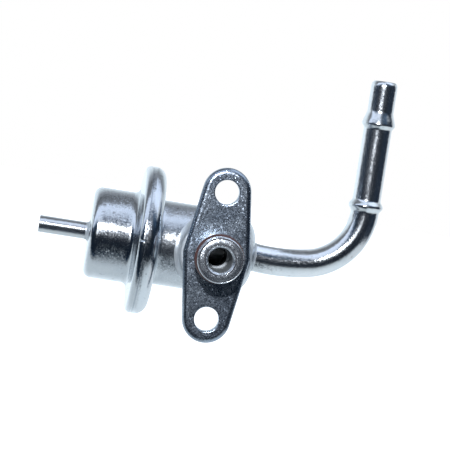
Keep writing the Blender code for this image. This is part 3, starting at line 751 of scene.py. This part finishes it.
# lower housing
def housing_section():
    rim_r = RIM_R - LIP_SHEET - SEAT_GAP
    lip_r = RIM_R - LIP_WIDTH - SEAT_GAP
    step_x = RIM_BACK_X - LIP_SHEET - SEAT_GAP
    hole_r = TUBE_R + SEAT_GAP
    inner_r = HOUSING_R - HOUSING_WALL
    end_inner_x = HOUSING_END_X - HOUSING_END_WALL
    mouth_floor_x = HOUSING_MOUTH_X + HOUSING_MOUTH_DEPTH
    return rounded(
        [
            (HOUSING_MOUTH_R, HOUSING_MOUTH_X, 0),
            (rim_r, HOUSING_MOUTH_X, 0),
            (rim_r, step_x, RIM_BACK_R - LIP_SHEET - SEAT_GAP),
            (lip_r, step_x, 0),
            (lip_r, HOUSING_LIP_X, HOUSING_LIP_EDGE),
            (HOUSING_R, HOUSING_LIP_X, HOUSING_ROOT_R),
            (HOUSING_R, HOUSING_END_X, HOUSING_SHOULDER_R),
            (hole_r, HOUSING_END_X, 0),
            (hole_r, end_inner_x, 0),
            (inner_r, end_inner_x, HOUSING_SHOULDER_R - HOUSING_WALL),
            (inner_r, mouth_floor_x, 0),
            (HOUSING_MOUTH_R, mouth_floor_x, 0),
        ]
    )


def cut_port_hole(housing):
    """Cut the round hole behind the inlet fitting."""
    section = [
        (DRILL_CORE_R, -PORT_HOLE_DEPTH),
        (PORT_HOLE_R, -PORT_HOLE_DEPTH),
        (PORT_HOLE_R, 0.0),
        (DRILL_CORE_R, 0.0),
    ]
    drill = turned("port_drill", section, on_port, ZINC_BODY, around(DRILL_FACETS))
    cut = housing.modifiers.new("port_hole", "BOOLEAN")
    cut.object = drill
    cut.solver = "EXACT"
    bpy.context.view_layer.update()
    evaluated = housing.evaluated_get(bpy.context.evaluated_depsgraph_get())
    bored = bpy.data.meshes.new_from_object(evaluated)
    housing.modifiers.clear()
    housing.data = bored
    bpy.data.objects.remove(drill)


def lower_housing():
    section = divided(housing_section(), HOUSING_STEP)
    housing = turned("housing_shell", section, on_body, ZINC_BODY, around(HOUSING_FACETS))
    cut_port_hole(housing)
    return housing


def outlet_fillet():
    section = fillet_section(TUBE_R + BRAZE_GAP, HOUSING_END_X - BRAZE_GAP, TUBE_BRAZE, 1)
    return turned("outlet_fillet", section, on_body, BRAZE, around(TUBE_BRAZE_FACETS))


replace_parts(lower_housing(), "lower_housing")
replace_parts(outlet_fillet(), "outlet_braze_ring")


# inlet fitting
def fitting_section():
    groove_end = SPIGOT_LENGTH - LIP_LENGTH
    groove_start = groove_end - GROOVE_WIDTH
    groove_r = SPIGOT_R - GROOVE_DEPTH
    behind_the_front = [
        (THROAT_R, BASE_FOOT, 0),
        (BASE_R, BASE_FOOT, 0),
        (BASE_R, BASE_FRONT, BASE_EDGE_R),
        (SPIGOT_R, BASE_FRONT, 0),
        (SPIGOT_R, groove_start, 0),
        (groove_r, groove_start, 0),
        (groove_r, groove_end, 0),
        (SPIGOT_R, groove_end, LIP_EDGE),
    ]
    front = [(r, SPIGOT_LENGTH - depth, fillet) for r, depth, fillet in SPIGOT_FRONT]
    bore = [(SPIGOT_BORE_R, 0, THROAT_EDGE), (THROAT_R, 0, 0)]
    return rounded(behind_the_front + front + bore)


def body_height(x, z, gap):
    """Height along the port's axis of a skin that lies a gap outside the housing."""
    over = max(x - (HOUSING_END_X - HOUSING_SHOULDER_R), 0.0)
    flat_r = HOUSING_R - HOUSING_SHOULDER_R
    return -AXIS + sqrt((flat_r + sqrt((HOUSING_SHOULDER_R + gap) ** 2 - over**2)) ** 2 - z**2)


def saddle(r, a, t):
    """The foot of the round base follows the housing."""
    if a < BASE_FOOT + FOOT_MARGIN:
        return r, body_height(r * cos(t), r * sin(t), BRAZE_SINK)
    return r, a


def in_bore(x, y, z):
    return hypot(x, z) < SHADE_INSIDE_R and -y < SPIGOT_LENGTH - SHADE_INSIDE_DEPTH


def on_base(x, y, z):
    return hypot(x, z) > BRAZED_FROM_R and y > BRAZED_BEHIND


def in_shaded_ring(x, y, z):
    r = hypot(x, z)
    depth = SPIGOT_LENGTH + y
    return any(inner < r < outer and low < depth < high for inner, outer, low, high in RING_FLOORS)


def inlet_fitting():
    section = divided(fitting_section(), FITTING_STEP)
    angles = around(FITTING_FACETS)
    fitting = turned("port_fitting", section, on_port, ZINC_SPIGOT, angles, saddle)
    # Painted shade inside the bore
    second_finish(fitting, SHADE_INSIDE, in_bore)
    second_finish(fitting, BRAZE, on_base)
    # The two rings get the near-black painted shade
    second_finish(fitting, GROOVE_SHADE, in_shaded_ring)
    return fitting


def base_fillet():
    """Braze between the round base and the housing, thinner towards the return tube."""
    bm = bmesh.new()
    inner_r = BASE_R + BRAZE_GAP

    def ring(share, filled):
        made = []
        for t in around(BASE_BRAZE_FACETS):
            reach = BASE_BRAZE * (1 - BASE_BRAZE_THINNING * max(cos(t), 0.0)) + BRAZE_SINK
            foot = body_height(inner_r * cos(t), inner_r * sin(t), BRAZE_GAP)
            rise = min(reach, BASE_FRONT - BASE_BRAZE_EDGE - foot)
            r = inner_r + reach * share
            height = body_height(r * cos(t), r * sin(t), BRAZE_GAP)
            if filled:
                height += BASE_BRAZE_TOE + (rise - BASE_BRAZE_TOE) * (1 - sqrt(1 - (1 - share) ** 2))
            made.append(bm.verts.new(on_port(r, height, t)))
        return made

    loops = [ring(k / BASE_BRAZE_STEPS, True) for k in range(BASE_BRAZE_STEPS + 1)]
    loops += [ring(share, False) for share in (1.0, 0.5, 0.0)]
    skin(bm, loops)
    return finish("base_fillet", bm, BRAZE)


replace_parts(inlet_fitting(), "inlet_fitting")
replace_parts(base_fillet(), "inlet_braze_ring")


# seal
def seal_ring():
    ring_r = SPIGOT_R + ORING_PROUD - ORING_R
    groove_middle = SPIGOT_LENGTH - LIP_LENGTH - GROOVE_WIDTH / 2
    angles = around(ORING_SECTION_FACETS)
    section = [(ring_r + ORING_R * cos(t), groove_middle + ORING_R * sin(t)) for t in angles]
    return turned("seal_ring", section, on_port, BROWN_RUBBER, around(ORING_FACETS))


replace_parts(seal_ring(), "o_ring")


# mounting flange
def outward_arc(middle, radius, side, start, sweep, steps):
    """Points on an arc of the outline, each with its outward direction. Side -1 turns it half round."""
    made = []
    for k in range(steps + 1):
        t = start + sweep * k / steps
        normal = Vector((side * cos(t), side * sin(t)))
        made.append((Vector(middle) + normal * radius, normal))
    return made


def outline():
    """Points of the two-bolt outline, each with its outward direction."""
    flank = acos(PLATE_END_R / hypot(PLATE_HALF_WIDTH, HALF_SPACING)) - atan2(HALF_SPACING, PLATE_HALF_WIDTH)
    inset = PLATE_HALF_WIDTH - PLATE_WAIST_R / cos(flank)
    points = []
    for side in (1, -1):
        end = (0, side * HALF_SPACING)
        waist = (-side * inset, 0)
        points += outward_arc(end, PLATE_END_R, side, flank, pi - 2 * flank, PLATE_END_STEPS)
        points += outward_arc(waist, PLATE_WAIST_R, side, pi - flank, 2 * flank, PLATE_WAIST_STEPS)
    dense = []
    for (p, n), (q, m) in zip(points, points[1:] + points[:1]):
        parts = max(1, ceil((q - p).length / PLATE_OUTLINE_STEP))
        for k in range(parts):
            share = k / parts
            dense.append((p.lerp(q, share), n.lerp(m, share).normalized()))
    return dense


def plate_rim(bm):
    """Loops round the plate's rounded edge, from the front face to the back face."""
    quarter = [pi / 2 * k / PLATE_EDGE_STEPS for k in range(PLATE_EDGE_STEPS + 1)]
    front = [(PLATE_EDGE_R * (1 - sin(t)), PLATE_EDGE_R * (1 - cos(t))) for t in quarter]
    back = [(inset, PLATE - depth) for inset, depth in reversed(front)]
    margin = PLATE_EDGE_R + RIM_MARGIN
    rim = outline()
    loops = []
    for inset, depth in [(margin, 0.0), *front, *back, (margin, PLATE)]:
        places = [point - normal * inset for point, normal in rim]
        loops.append([bm.verts.new(Vector((p.x, depth, p.y)) * MM) for p in places])
    skin(bm, loops, closed=False)
    return loops


def plate_hole(bm, middle_z, radius, edge, facets):
    """Loops through a hole: rounded edge at the front, small bevel at the back."""
    steps = [(radius + edge + HOLE_MARGIN, 0.0)]
    for k in range(HOLE_EDGE_STEPS):
        t = pi / 2 * k / HOLE_EDGE_STEPS
        steps.append((radius + edge * (1 - sin(t)), edge * (1 - cos(t))))
    steps.append((radius, edge))
    steps.append((radius, PLATE - edge))
    steps.append((radius + edge, PLATE))
    steps.append((radius + edge + HOLE_MARGIN, PLATE))
    loops = []
    for r, depth in steps:
        places = [(r * cos(t), depth, middle_z + r * sin(t)) for t in around(facets)]
        loops.append([bm.verts.new(Vector(place) * MM) for place in places])
    skin(bm, loops, closed=False)
    return loops


def fill_between(bm, loops):
    """Flat face inside the first loop, with the other loops as holes."""
    edges = set()
    for loop in loops:
        for v, w in zip(loop, loop[1:] + loop[:1]):
            edges.add(bm.edges.get((v, w)))
    bmesh.ops.triangle_fill(bm, use_beauty=True, edges=list(edges))


def flange_plate():
    bm = bmesh.new()
    skins = [
        plate_rim(bm),
        plate_hole(bm, HALF_SPACING, BOLT_HOLE_R, BOLT_HOLE_EDGE, BOLT_HOLE_FACETS),
        plate_hole(bm, -HALF_SPACING, BOLT_HOLE_R, BOLT_HOLE_EDGE, BOLT_HOLE_FACETS),
        plate_hole(bm, 0.0, SPIGOT_HOLE_R, SPIGOT_HOLE_EDGE, SPIGOT_HOLE_FACETS),
    ]
    bm.verts.index_update()
    fill_between(bm, [loops[0] for loops in skins])
    fill_between(bm, [loops[-1] for loops in skins])
    return finish("flange_plate", bm, ZINC_PLATE, PLATE_SHARP)


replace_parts(flange_plate(), "mounting_flange")


# return tube
class Route:
    """Centreline in the XZ plane, made of straight runs and arcs."""

    def __init__(self, x, z):
        self.runs = []
        self.x = x
        self.z = z
        self.heading = 0.0
        self.length = 0.0

    def add(self, length, turn=0.0):
        self.runs.append((self.length, length, turn, self.x, self.z, self.heading))
        self.x, self.z, self.heading = self.step(length, length, turn, self.x, self.z, self.heading)
        self.length += length

    @staticmethod
    def step(s, length, turn, x, z, heading):
        if abs(turn) < 1e-9:
            return x + s * cos(heading), z + s * sin(heading), heading
        radius = length / turn
        new = heading + turn * s / length
        return x + radius * (sin(new) - sin(heading)), z + radius * (cos(heading) - cos(new)), new

    def at(self, s):
        for start, length, turn, x, z, heading in self.runs:
            if s <= start + length + 1e-9:
                break
        return self.step(s - start, length, turn, x, z, heading)


def lowest_x(node):
    """Left end of a CAD node, in millimetres."""
    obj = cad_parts[node]
    return min((obj.matrix_world @ vertex.co).x for vertex in obj.data.vertices) / MM


tube_start_x = lowest_x("outlet_tube")
route = Route(tube_start_x, 0.0)
route.add(SAG_START_X - tube_start_x)
route.add(SAG_R * SAG, -SAG)
route.add(SWEEP_R * SWEEP, SWEEP)
bend_turn = pi / 2 + LEAN - (SWEEP - SAG)
route.add(BEND_R * bend_turn, bend_turn)
rise_start = route.length
route.add(RISE)
tube_end = route.length


def smooth(u):
    return u * u * (3 - 2 * u)


def tube_radius(s):
    """Outer radius along the tube: plain, bead, plain, barb, narrowed tip and rounded nose."""
    bead = abs(s - rise_start - BEAD_AT) / BEAD_HALF
    if bead < 1:
        return TUBE_R + BEAD_HEIGHT * (0.5 + 0.5 * cos(pi * bead))
    barb = s - rise_start - BARB_AT
    if barb < -BARB_BACK:
        return TUBE_R
    if barb < 0:
        return TUBE_R + (BARB_R - TUBE_R) * smooth(1 + barb / BARB_BACK)
    if barb < BARB_CONE:
        down = barb / BARB_CONE
        fall = BARB_STRAIGHTNESS * down + (1 - BARB_STRAIGHTNESS) * smooth(down)
        return BARB_R - (BARB_R - TIP_R) * fall
    nose = (s - tube_end + TIP_NOSE) / TIP_NOSE
    if nose <= 0:
        return TIP_R
    return TIP_R - TIP_NOSE_R + TIP_NOSE_R * sqrt(max(1.0 - nose**2, 0.0))


def outer_stations():
    """Places along the tube's outside, closer together at the bead and the barb, and on the nose."""
    nose_start = tube_end - TIP_NOSE
    stations = [0.0]
    while stations[-1] < nose_start - TUBE_STEP / 2:
        risen = stations[-1] - rise_start
        fine = any(start < risen < end for start, end in (FINE_BEAD, FINE_BARB))
        stations.append(stations[-1] + (TUBE_FINE_STEP if fine else TUBE_STEP))
    stations.append(nose_start)
    for k in range(1, TIP_NOSE_STEPS + 1):
        stations.append(tube_end - TIP_NOSE * (1 - sin(pi / 2 * k / TIP_NOSE_STEPS)))
    return stations


def bore_stations():
    """Places along the bore, from the barb back to the inner end."""
    stations = [rise_start + BARB_AT]
    while stations[-1] > BORE_STEP:
        stations.append(stations[-1] - BORE_STEP)
    return stations + [0.0]


def return_tube():
    bm = bmesh.new()

    def ring(s, radius):
        x, z, heading = route.at(s)
        made = []
        for t in around(TUBE_FACETS):
            off = radius * cos(t)
            place = Vector((x - off * sin(heading), AXIS + radius * sin(t), z + off * cos(heading)))
            made.append(bm.verts.new(place * MM))
        return made

    loops = [ring(s, tube_radius(s)) for s in outer_stations()]
    loops.append(ring(tube_end, TIP_BORE_R))
    loops.append(ring(rise_start + BARB_AT + BARB_CONE, TIP_BORE_R))
    loops += [ring(s, TUBE_BORE_R) for s in bore_stations()]
    skin(bm, loops)
    tube = finish("return_tube", bm, ZINC_TUBE)
    # The tube's inner end gets the painted shade as well
    second_finish(tube, SHADE_INSIDE, lambda x, y, z: x < SHADE_INSIDE_TUBE_X)
    return tube


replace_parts(return_tube(), "outlet_tube")


# inner pieces: the CAD nodes themselves, with a material
INNER_FINISHES = {
    "valve_seat": STEEL,
    "spring_plate": STEEL,
    "rivet_washer": STEEL,
    "clamp_washer": STEEL,
    "valve_holder": STEEL,
    "ball_retainer": STEEL,
    "upper_spring_seat": STEEL,
    "valve_ball": BALL,
    "main_spring": WIRE,
    "ball_spring": WIRE,
    "diaphragm": BLACK_FABRIC,
}
for node, mat in INNER_FINISHES.items():
    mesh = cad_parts[node].data
    if not mesh.materials:
        mesh.materials.append(mat)
    for index in range(len(mesh.materials)):
        mesh.materials[index] = mat


# camera
YAW = radians(5.779)
PITCH = radians(3.805)
ROLL = radians(9.436)
CAMERA_AT = Vector((-47.407, -476.005, 40.613)) * MM
LENS_MM = 140.08


def photo_camera():
    """Camera that sees the object as the photograph does."""
    forward = Vector((sin(YAW) * cos(PITCH), cos(YAW) * cos(PITCH), -sin(PITCH)))
    level = Vector((cos(YAW), -sin(YAW), 0.0))
    upright = level.cross(forward)
    right = level * cos(ROLL) + upright * sin(ROLL)
    up = upright * cos(ROLL) - level * sin(ROLL)
    lens = bpy.data.cameras.new("photo_camera")
    lens.lens = LENS_MM
    lens.sensor_width = 36.0
    lens.clip_start = 0.02
    lens.clip_end = 20.0
    camera = bpy.data.objects.new("photo_camera", lens)
    bpy.context.scene.collection.objects.link(camera)
    turn = Matrix((right, up, -forward)).transposed()
    camera.matrix_world = Matrix.Translation(CAMERA_AT) @ turn.to_4x4()
    return camera


bpy.context.scene.camera = photo_camera()
bpy.context.scene.view_settings.view_transform = "Standard"

# studio
# Tints of the light
LAVENDER = (0.885, 1.0, 1.21)
PALE = (0.89, 1.0, 1.08)
NEUTRAL = (0.93, 1.0, 1.10)
NAVY = (0.50, 1.0, 1.80)
DARK = (0.012, 0.022, 0.040)

# What the plating mirrors round the regulator's axis, as (degrees, brightness, tint).
# 0 is towards the camera, 90 is up and 180 is away from it.
CUP_BANDS = [
    (-160, 1.25, PALE),
    (-134, 0.98, PALE),
    (-109, 0.77, PALE),
    (-70, 0.71, PALE),
    (-63, 0.68, PALE),
    (-57, 0.42, PALE),
    (-50, 0.19, PALE),
    (-43, 0.05, NAVY),
    (-36, 0.014, NAVY),
    (24, 0.014, NAVY),
    (42, 0.11, NAVY),
    (46, 0.22, LAVENDER),
    (49, 0.80, LAVENDER),
    (57, 0.92, LAVENDER),
    (64, 1.06, LAVENDER),
    (87, 1.04, LAVENDER),
    (92, 0.24, NEUTRAL),
    (113, 0.22, NEUTRAL),
    (117, 0.06, NEUTRAL),
    (121, 0.26, NEUTRAL),
    (128, 0.32, NEUTRAL),
    (139, 0.44, NEUTRAL),
    (152, 0.80, PALE),
    (170, 1.10, PALE),
]
BODY_BANDS = [
    (-160, 1.25, PALE),
    (-134, 0.90, PALE),
    (-118, 0.68, PALE),
    (-86, 0.68, PALE),
    (-79, 0.45, PALE),
    (-72, 0.14, PALE),
    (-64, 0.03, NAVY),
    (-50, 0.006, NAVY),
    (22, 0.006, NAVY),
    (34, 0.14, NEUTRAL),
    (62, 0.15, NEUTRAL),
    (68, 0.75, LAVENDER),
    (73, 1.08, LAVENDER),
    (86, 1.10, LAVENDER),
    (92, 0.28, NEUTRAL),
    (104, 0.13, NEUTRAL),
    (124, 0.24, NEUTRAL),
    (133, 0.32, NEUTRAL),
    (148, 0.68, PALE),
    (170, 1.10, PALE),
]
TUBE_BANDS = [
    (-160, 0.95, PALE),
    (-90, 1.0, PALE),
    (-60, 0.90, PALE),
    (-44, 0.74, PALE),
    (-34, 0.58, PALE),
    (-27, 0.20, PALE),
    (-20, 0.012, NAVY),
    (22, 0.012, NAVY),
    (52, 0.10, NAVY),
    (58, 0.40, LAVENDER),
    (66, 1.10, LAVENDER),
    (80, 1.28, LAVENDER),
    (92, 1.22, LAVENDER),
    (106, 1.15, LAVENDER),
    (119, 0.75, LAVENDER),
    (127, 0.34, NEUTRAL),
    (135, 0.25, NEUTRAL),
    (152, 0.50, PALE),
    (170, 1.0, PALE),
]
# Degrees by which the bands turn at the cup's left end and at the tube's right end
CUP_TURN = 12
TUBE_TURN = 6

# The parts of the room. Each pair is where one part starts to give way to the next and where it has,
# as x, y or z of the direction looked in, which is 1 long.
CUP_TURN_ENDS = (-0.01, 0.035)
CUP_TO_BODY = (0.050, 0.066)
BODY_TO_TUBE = (0.085, 0.115)
TUBE_TURN_STARTS = (0.12, 0.24)
FAR_RIGHT = (0.66, 0.80)
FAR_RIGHT_LOW = (-0.45, -0.33)
FAR_RIGHT_HIGH = (0.45, 0.60)
FAR_RIGHT_BACK = (0.20, 0.35)
FAR_RIGHT_TONE = (0.76, 0.82, 0.88, 1.0)
SIDEWAYS = (0.80, 0.93)
SIDEWAYS_HEIGHT = (0.06, 0.14)
# Places from 0 in front to 1 at the back
SIDEWAYS_FRONT = 0.64
SIDEWAYS_BACK = 0.69
SIDEWAYS_BACK_TONE = (0.88, 0.95, 1.02)
SIDEWAYS_END_TONE = (1.1, 1.15, 1.2)
PANEL_X = -0.175
PANEL_Z = 0.14
PANEL_HALF_WIDTH = 0.165
PANEL_HALF_HEIGHT = 0.15
PANEL_EDGE = (0.7, 1.3)
PANEL_TONE = (1.03, 1.08, 1.14, 1.0)


def bands(g, turn, stops):
    return g.ramp(turn, [(degrees / 360 + 0.5, [level * c for c in tint]) for degrees, level, tint in stops])


def banded_room(g, x, y, z):
    """Bands round the regulator's axis, other ones for reflections that lean along it."""
    turn = g.math("ARCTAN2", z, g.math("MULTIPLY", y, -1.0))
    turn = g.math("ADD", g.math("DIVIDE", turn, 2 * pi), 0.5)
    left_turn = g.math("MULTIPLY", g.rest(g.step(x, *CUP_TURN_ENDS)), CUP_TURN / 360)
    right_turn = g.math("MULTIPLY", g.step(x, *TUBE_TURN_STARTS), TUBE_TURN / 360)
    beside_cup = bands(g, g.math("ADD", turn, left_turn), CUP_BANDS)
    beside_body = bands(g, turn, BODY_BANDS)
    beside_tube = bands(g, g.math("ADD", turn, right_turn), TUBE_BANDS)
    room = g.mix(g.step(x, *CUP_TO_BODY), beside_cup, beside_body)
    return g.mix(g.step(x, *BODY_TO_TUBE), room, beside_tube)


def with_far_right(g, room, x, y, z):
    """The far right of the room is dark, except low down, high up and at the back."""
    low = g.rest(g.step(z, *FAR_RIGHT_LOW))
    high = g.step(z, *FAR_RIGHT_HIGH)
    behind = g.step(y, *FAR_RIGHT_BACK)
    open_side = g.math("MAXIMUM", behind, g.math("MAXIMUM", low, high))
    far_right = g.mix(open_side, (*DARK, 1.0), FAR_RIGHT_TONE)
    return g.mix(g.step(x, *FAR_RIGHT), room, far_right)


def with_ends(g, room, x, y, z):
    """Straight to the left and right the room is dark in front and bright at the back."""
    sideways = g.step(g.math("ABSOLUTE", x), *SIDEWAYS)
    level = g.rest(g.step(g.math("ABSOLUTE", z), *SIDEWAYS_HEIGHT))
    depth = g.math("ADD", g.math("MULTIPLY", y, 0.5), 0.5)
    stops = [(SIDEWAYS_FRONT, DARK), (SIDEWAYS_BACK, SIDEWAYS_BACK_TONE), (1.0, SIDEWAYS_END_TONE)]
    return g.mix(g.math("MULTIPLY", sideways, level), room, g.ramp(depth, stops))


def with_panel(g, room, x, y, z):
    """Soft oval panel just left of the camera."""
    across = g.math("DIVIDE", g.math("SUBTRACT", x, PANEL_X), PANEL_HALF_WIDTH)
    upward = g.math("DIVIDE", g.math("SUBTRACT", z, PANEL_Z), PANEL_HALF_HEIGHT)
    reach = g.math("ADD", g.math("MULTIPLY", across, across), g.math("MULTIPLY", upward, upward))
    ahead = g.math("LESS_THAN", y, 0.0)
    panel = g.math("MULTIPLY", ahead, g.rest(g.step(reach, *PANEL_EDGE)))
    return g.mix(panel, room, PANEL_TONE)


def studio_world():
    """The room that the plating mirrors. The camera itself sees white behind the object."""
    world = bpy.data.worlds.new("studio")
    bpy.context.scene.world = world
    world.use_nodes = True
    world.node_tree.nodes.clear()
    g = Graph(world.node_tree)
    x, y, z = g.axes(g.add("ShaderNodeTexCoord").outputs["Generated"])
    room = banded_room(g, x, y, z)
    room = with_far_right(g, room, x, y, z)
    room = with_ends(g, room, x, y, z)
    room = with_panel(g, room, x, y, z)
    surround = g.add("ShaderNodeBackground")
    g.join(room, surround.inputs["Color"])
    paper = g.add("ShaderNodeBackground")
    paper.inputs["Color"].default_value = (*WHITE, 1.0)
    choose = g.add("ShaderNodeMixShader")
    g.join(g.add("ShaderNodeLightPath").outputs["Is Camera Ray"], choose.inputs[0])
    g.join(surround.outputs[0], choose.inputs[1])
    g.join(paper.outputs[0], choose.inputs[2])
    g.join(choose.outputs[0], g.add("ShaderNodeOutputWorld").inputs["Surface"])


def lamp(name, place, size, power, color):
    """Round lamp that faces the origin."""
    light = bpy.data.lights.new(name, "AREA")
    light.shape = "DISK"
    light.size = size
    light.energy = power
    light.color = color
    obj = bpy.data.objects.new(name, light)
    obj.location = place
    obj.rotation_mode = "QUATERNION"
    obj.rotation_quaternion = Vector(place).to_track_quat("Z", "Y")
    bpy.context.scene.collection.objects.link(obj)


# Floor, in metres
FLOOR_Z = -0.2
FLOOR_HALF = 4.0
FLOOR_TONE = (0.86, 0.86, 0.86, 1.0)
FLOOR_ROUGHNESS = 0.9
FLOOR_LIFT = 0.8


def floor_material():
    """Matt pale floor, lifted towards white for the camera only, so that shadows stay."""
    mat, g, shader = shaded_material("pale_floor")
    shader["Roughness"].default_value = FLOOR_ROUGHNESS
    shader["Base Color"].default_value = FLOOR_TONE
    lift = g.add("ShaderNodeEmission")
    lift.inputs["Color"].default_value = (*WHITE, 1.0)
    seen = g.add("ShaderNodeLightPath").outputs["Is Camera Ray"]
    g.join(g.math("MULTIPLY", seen, FLOOR_LIFT), lift.inputs["Strength"])
    both = g.add("ShaderNodeAddShader")
    g.join(mat.node_tree.nodes["Principled BSDF"].outputs[0], both.inputs[0])
    g.join(lift.outputs[0], both.inputs[1])
    g.join(both.outputs[0], mat.node_tree.nodes["Material Output"].inputs["Surface"])
    return mat


def pale_floor():
    mesh = bpy.data.meshes.new("floor")
    corners = [(-1, -1), (1, -1), (1, 1), (-1, 1)]
    mesh.from_pydata([(x * FLOOR_HALF, y * FLOOR_HALF, FLOOR_Z) for x, y in corners], [], [(0, 1, 2, 3)])
    mesh.materials.append(floor_material())
    floor = bpy.data.objects.new("floor", mesh)
    bpy.context.scene.collection.objects.link(floor)
    floor.visible_glossy = False


studio_world()
lamp("key", place=(-0.082, -0.474, 0.199), size=0.034, power=2.5, color=(0.95, 0.98, 1.05))
pale_floor()
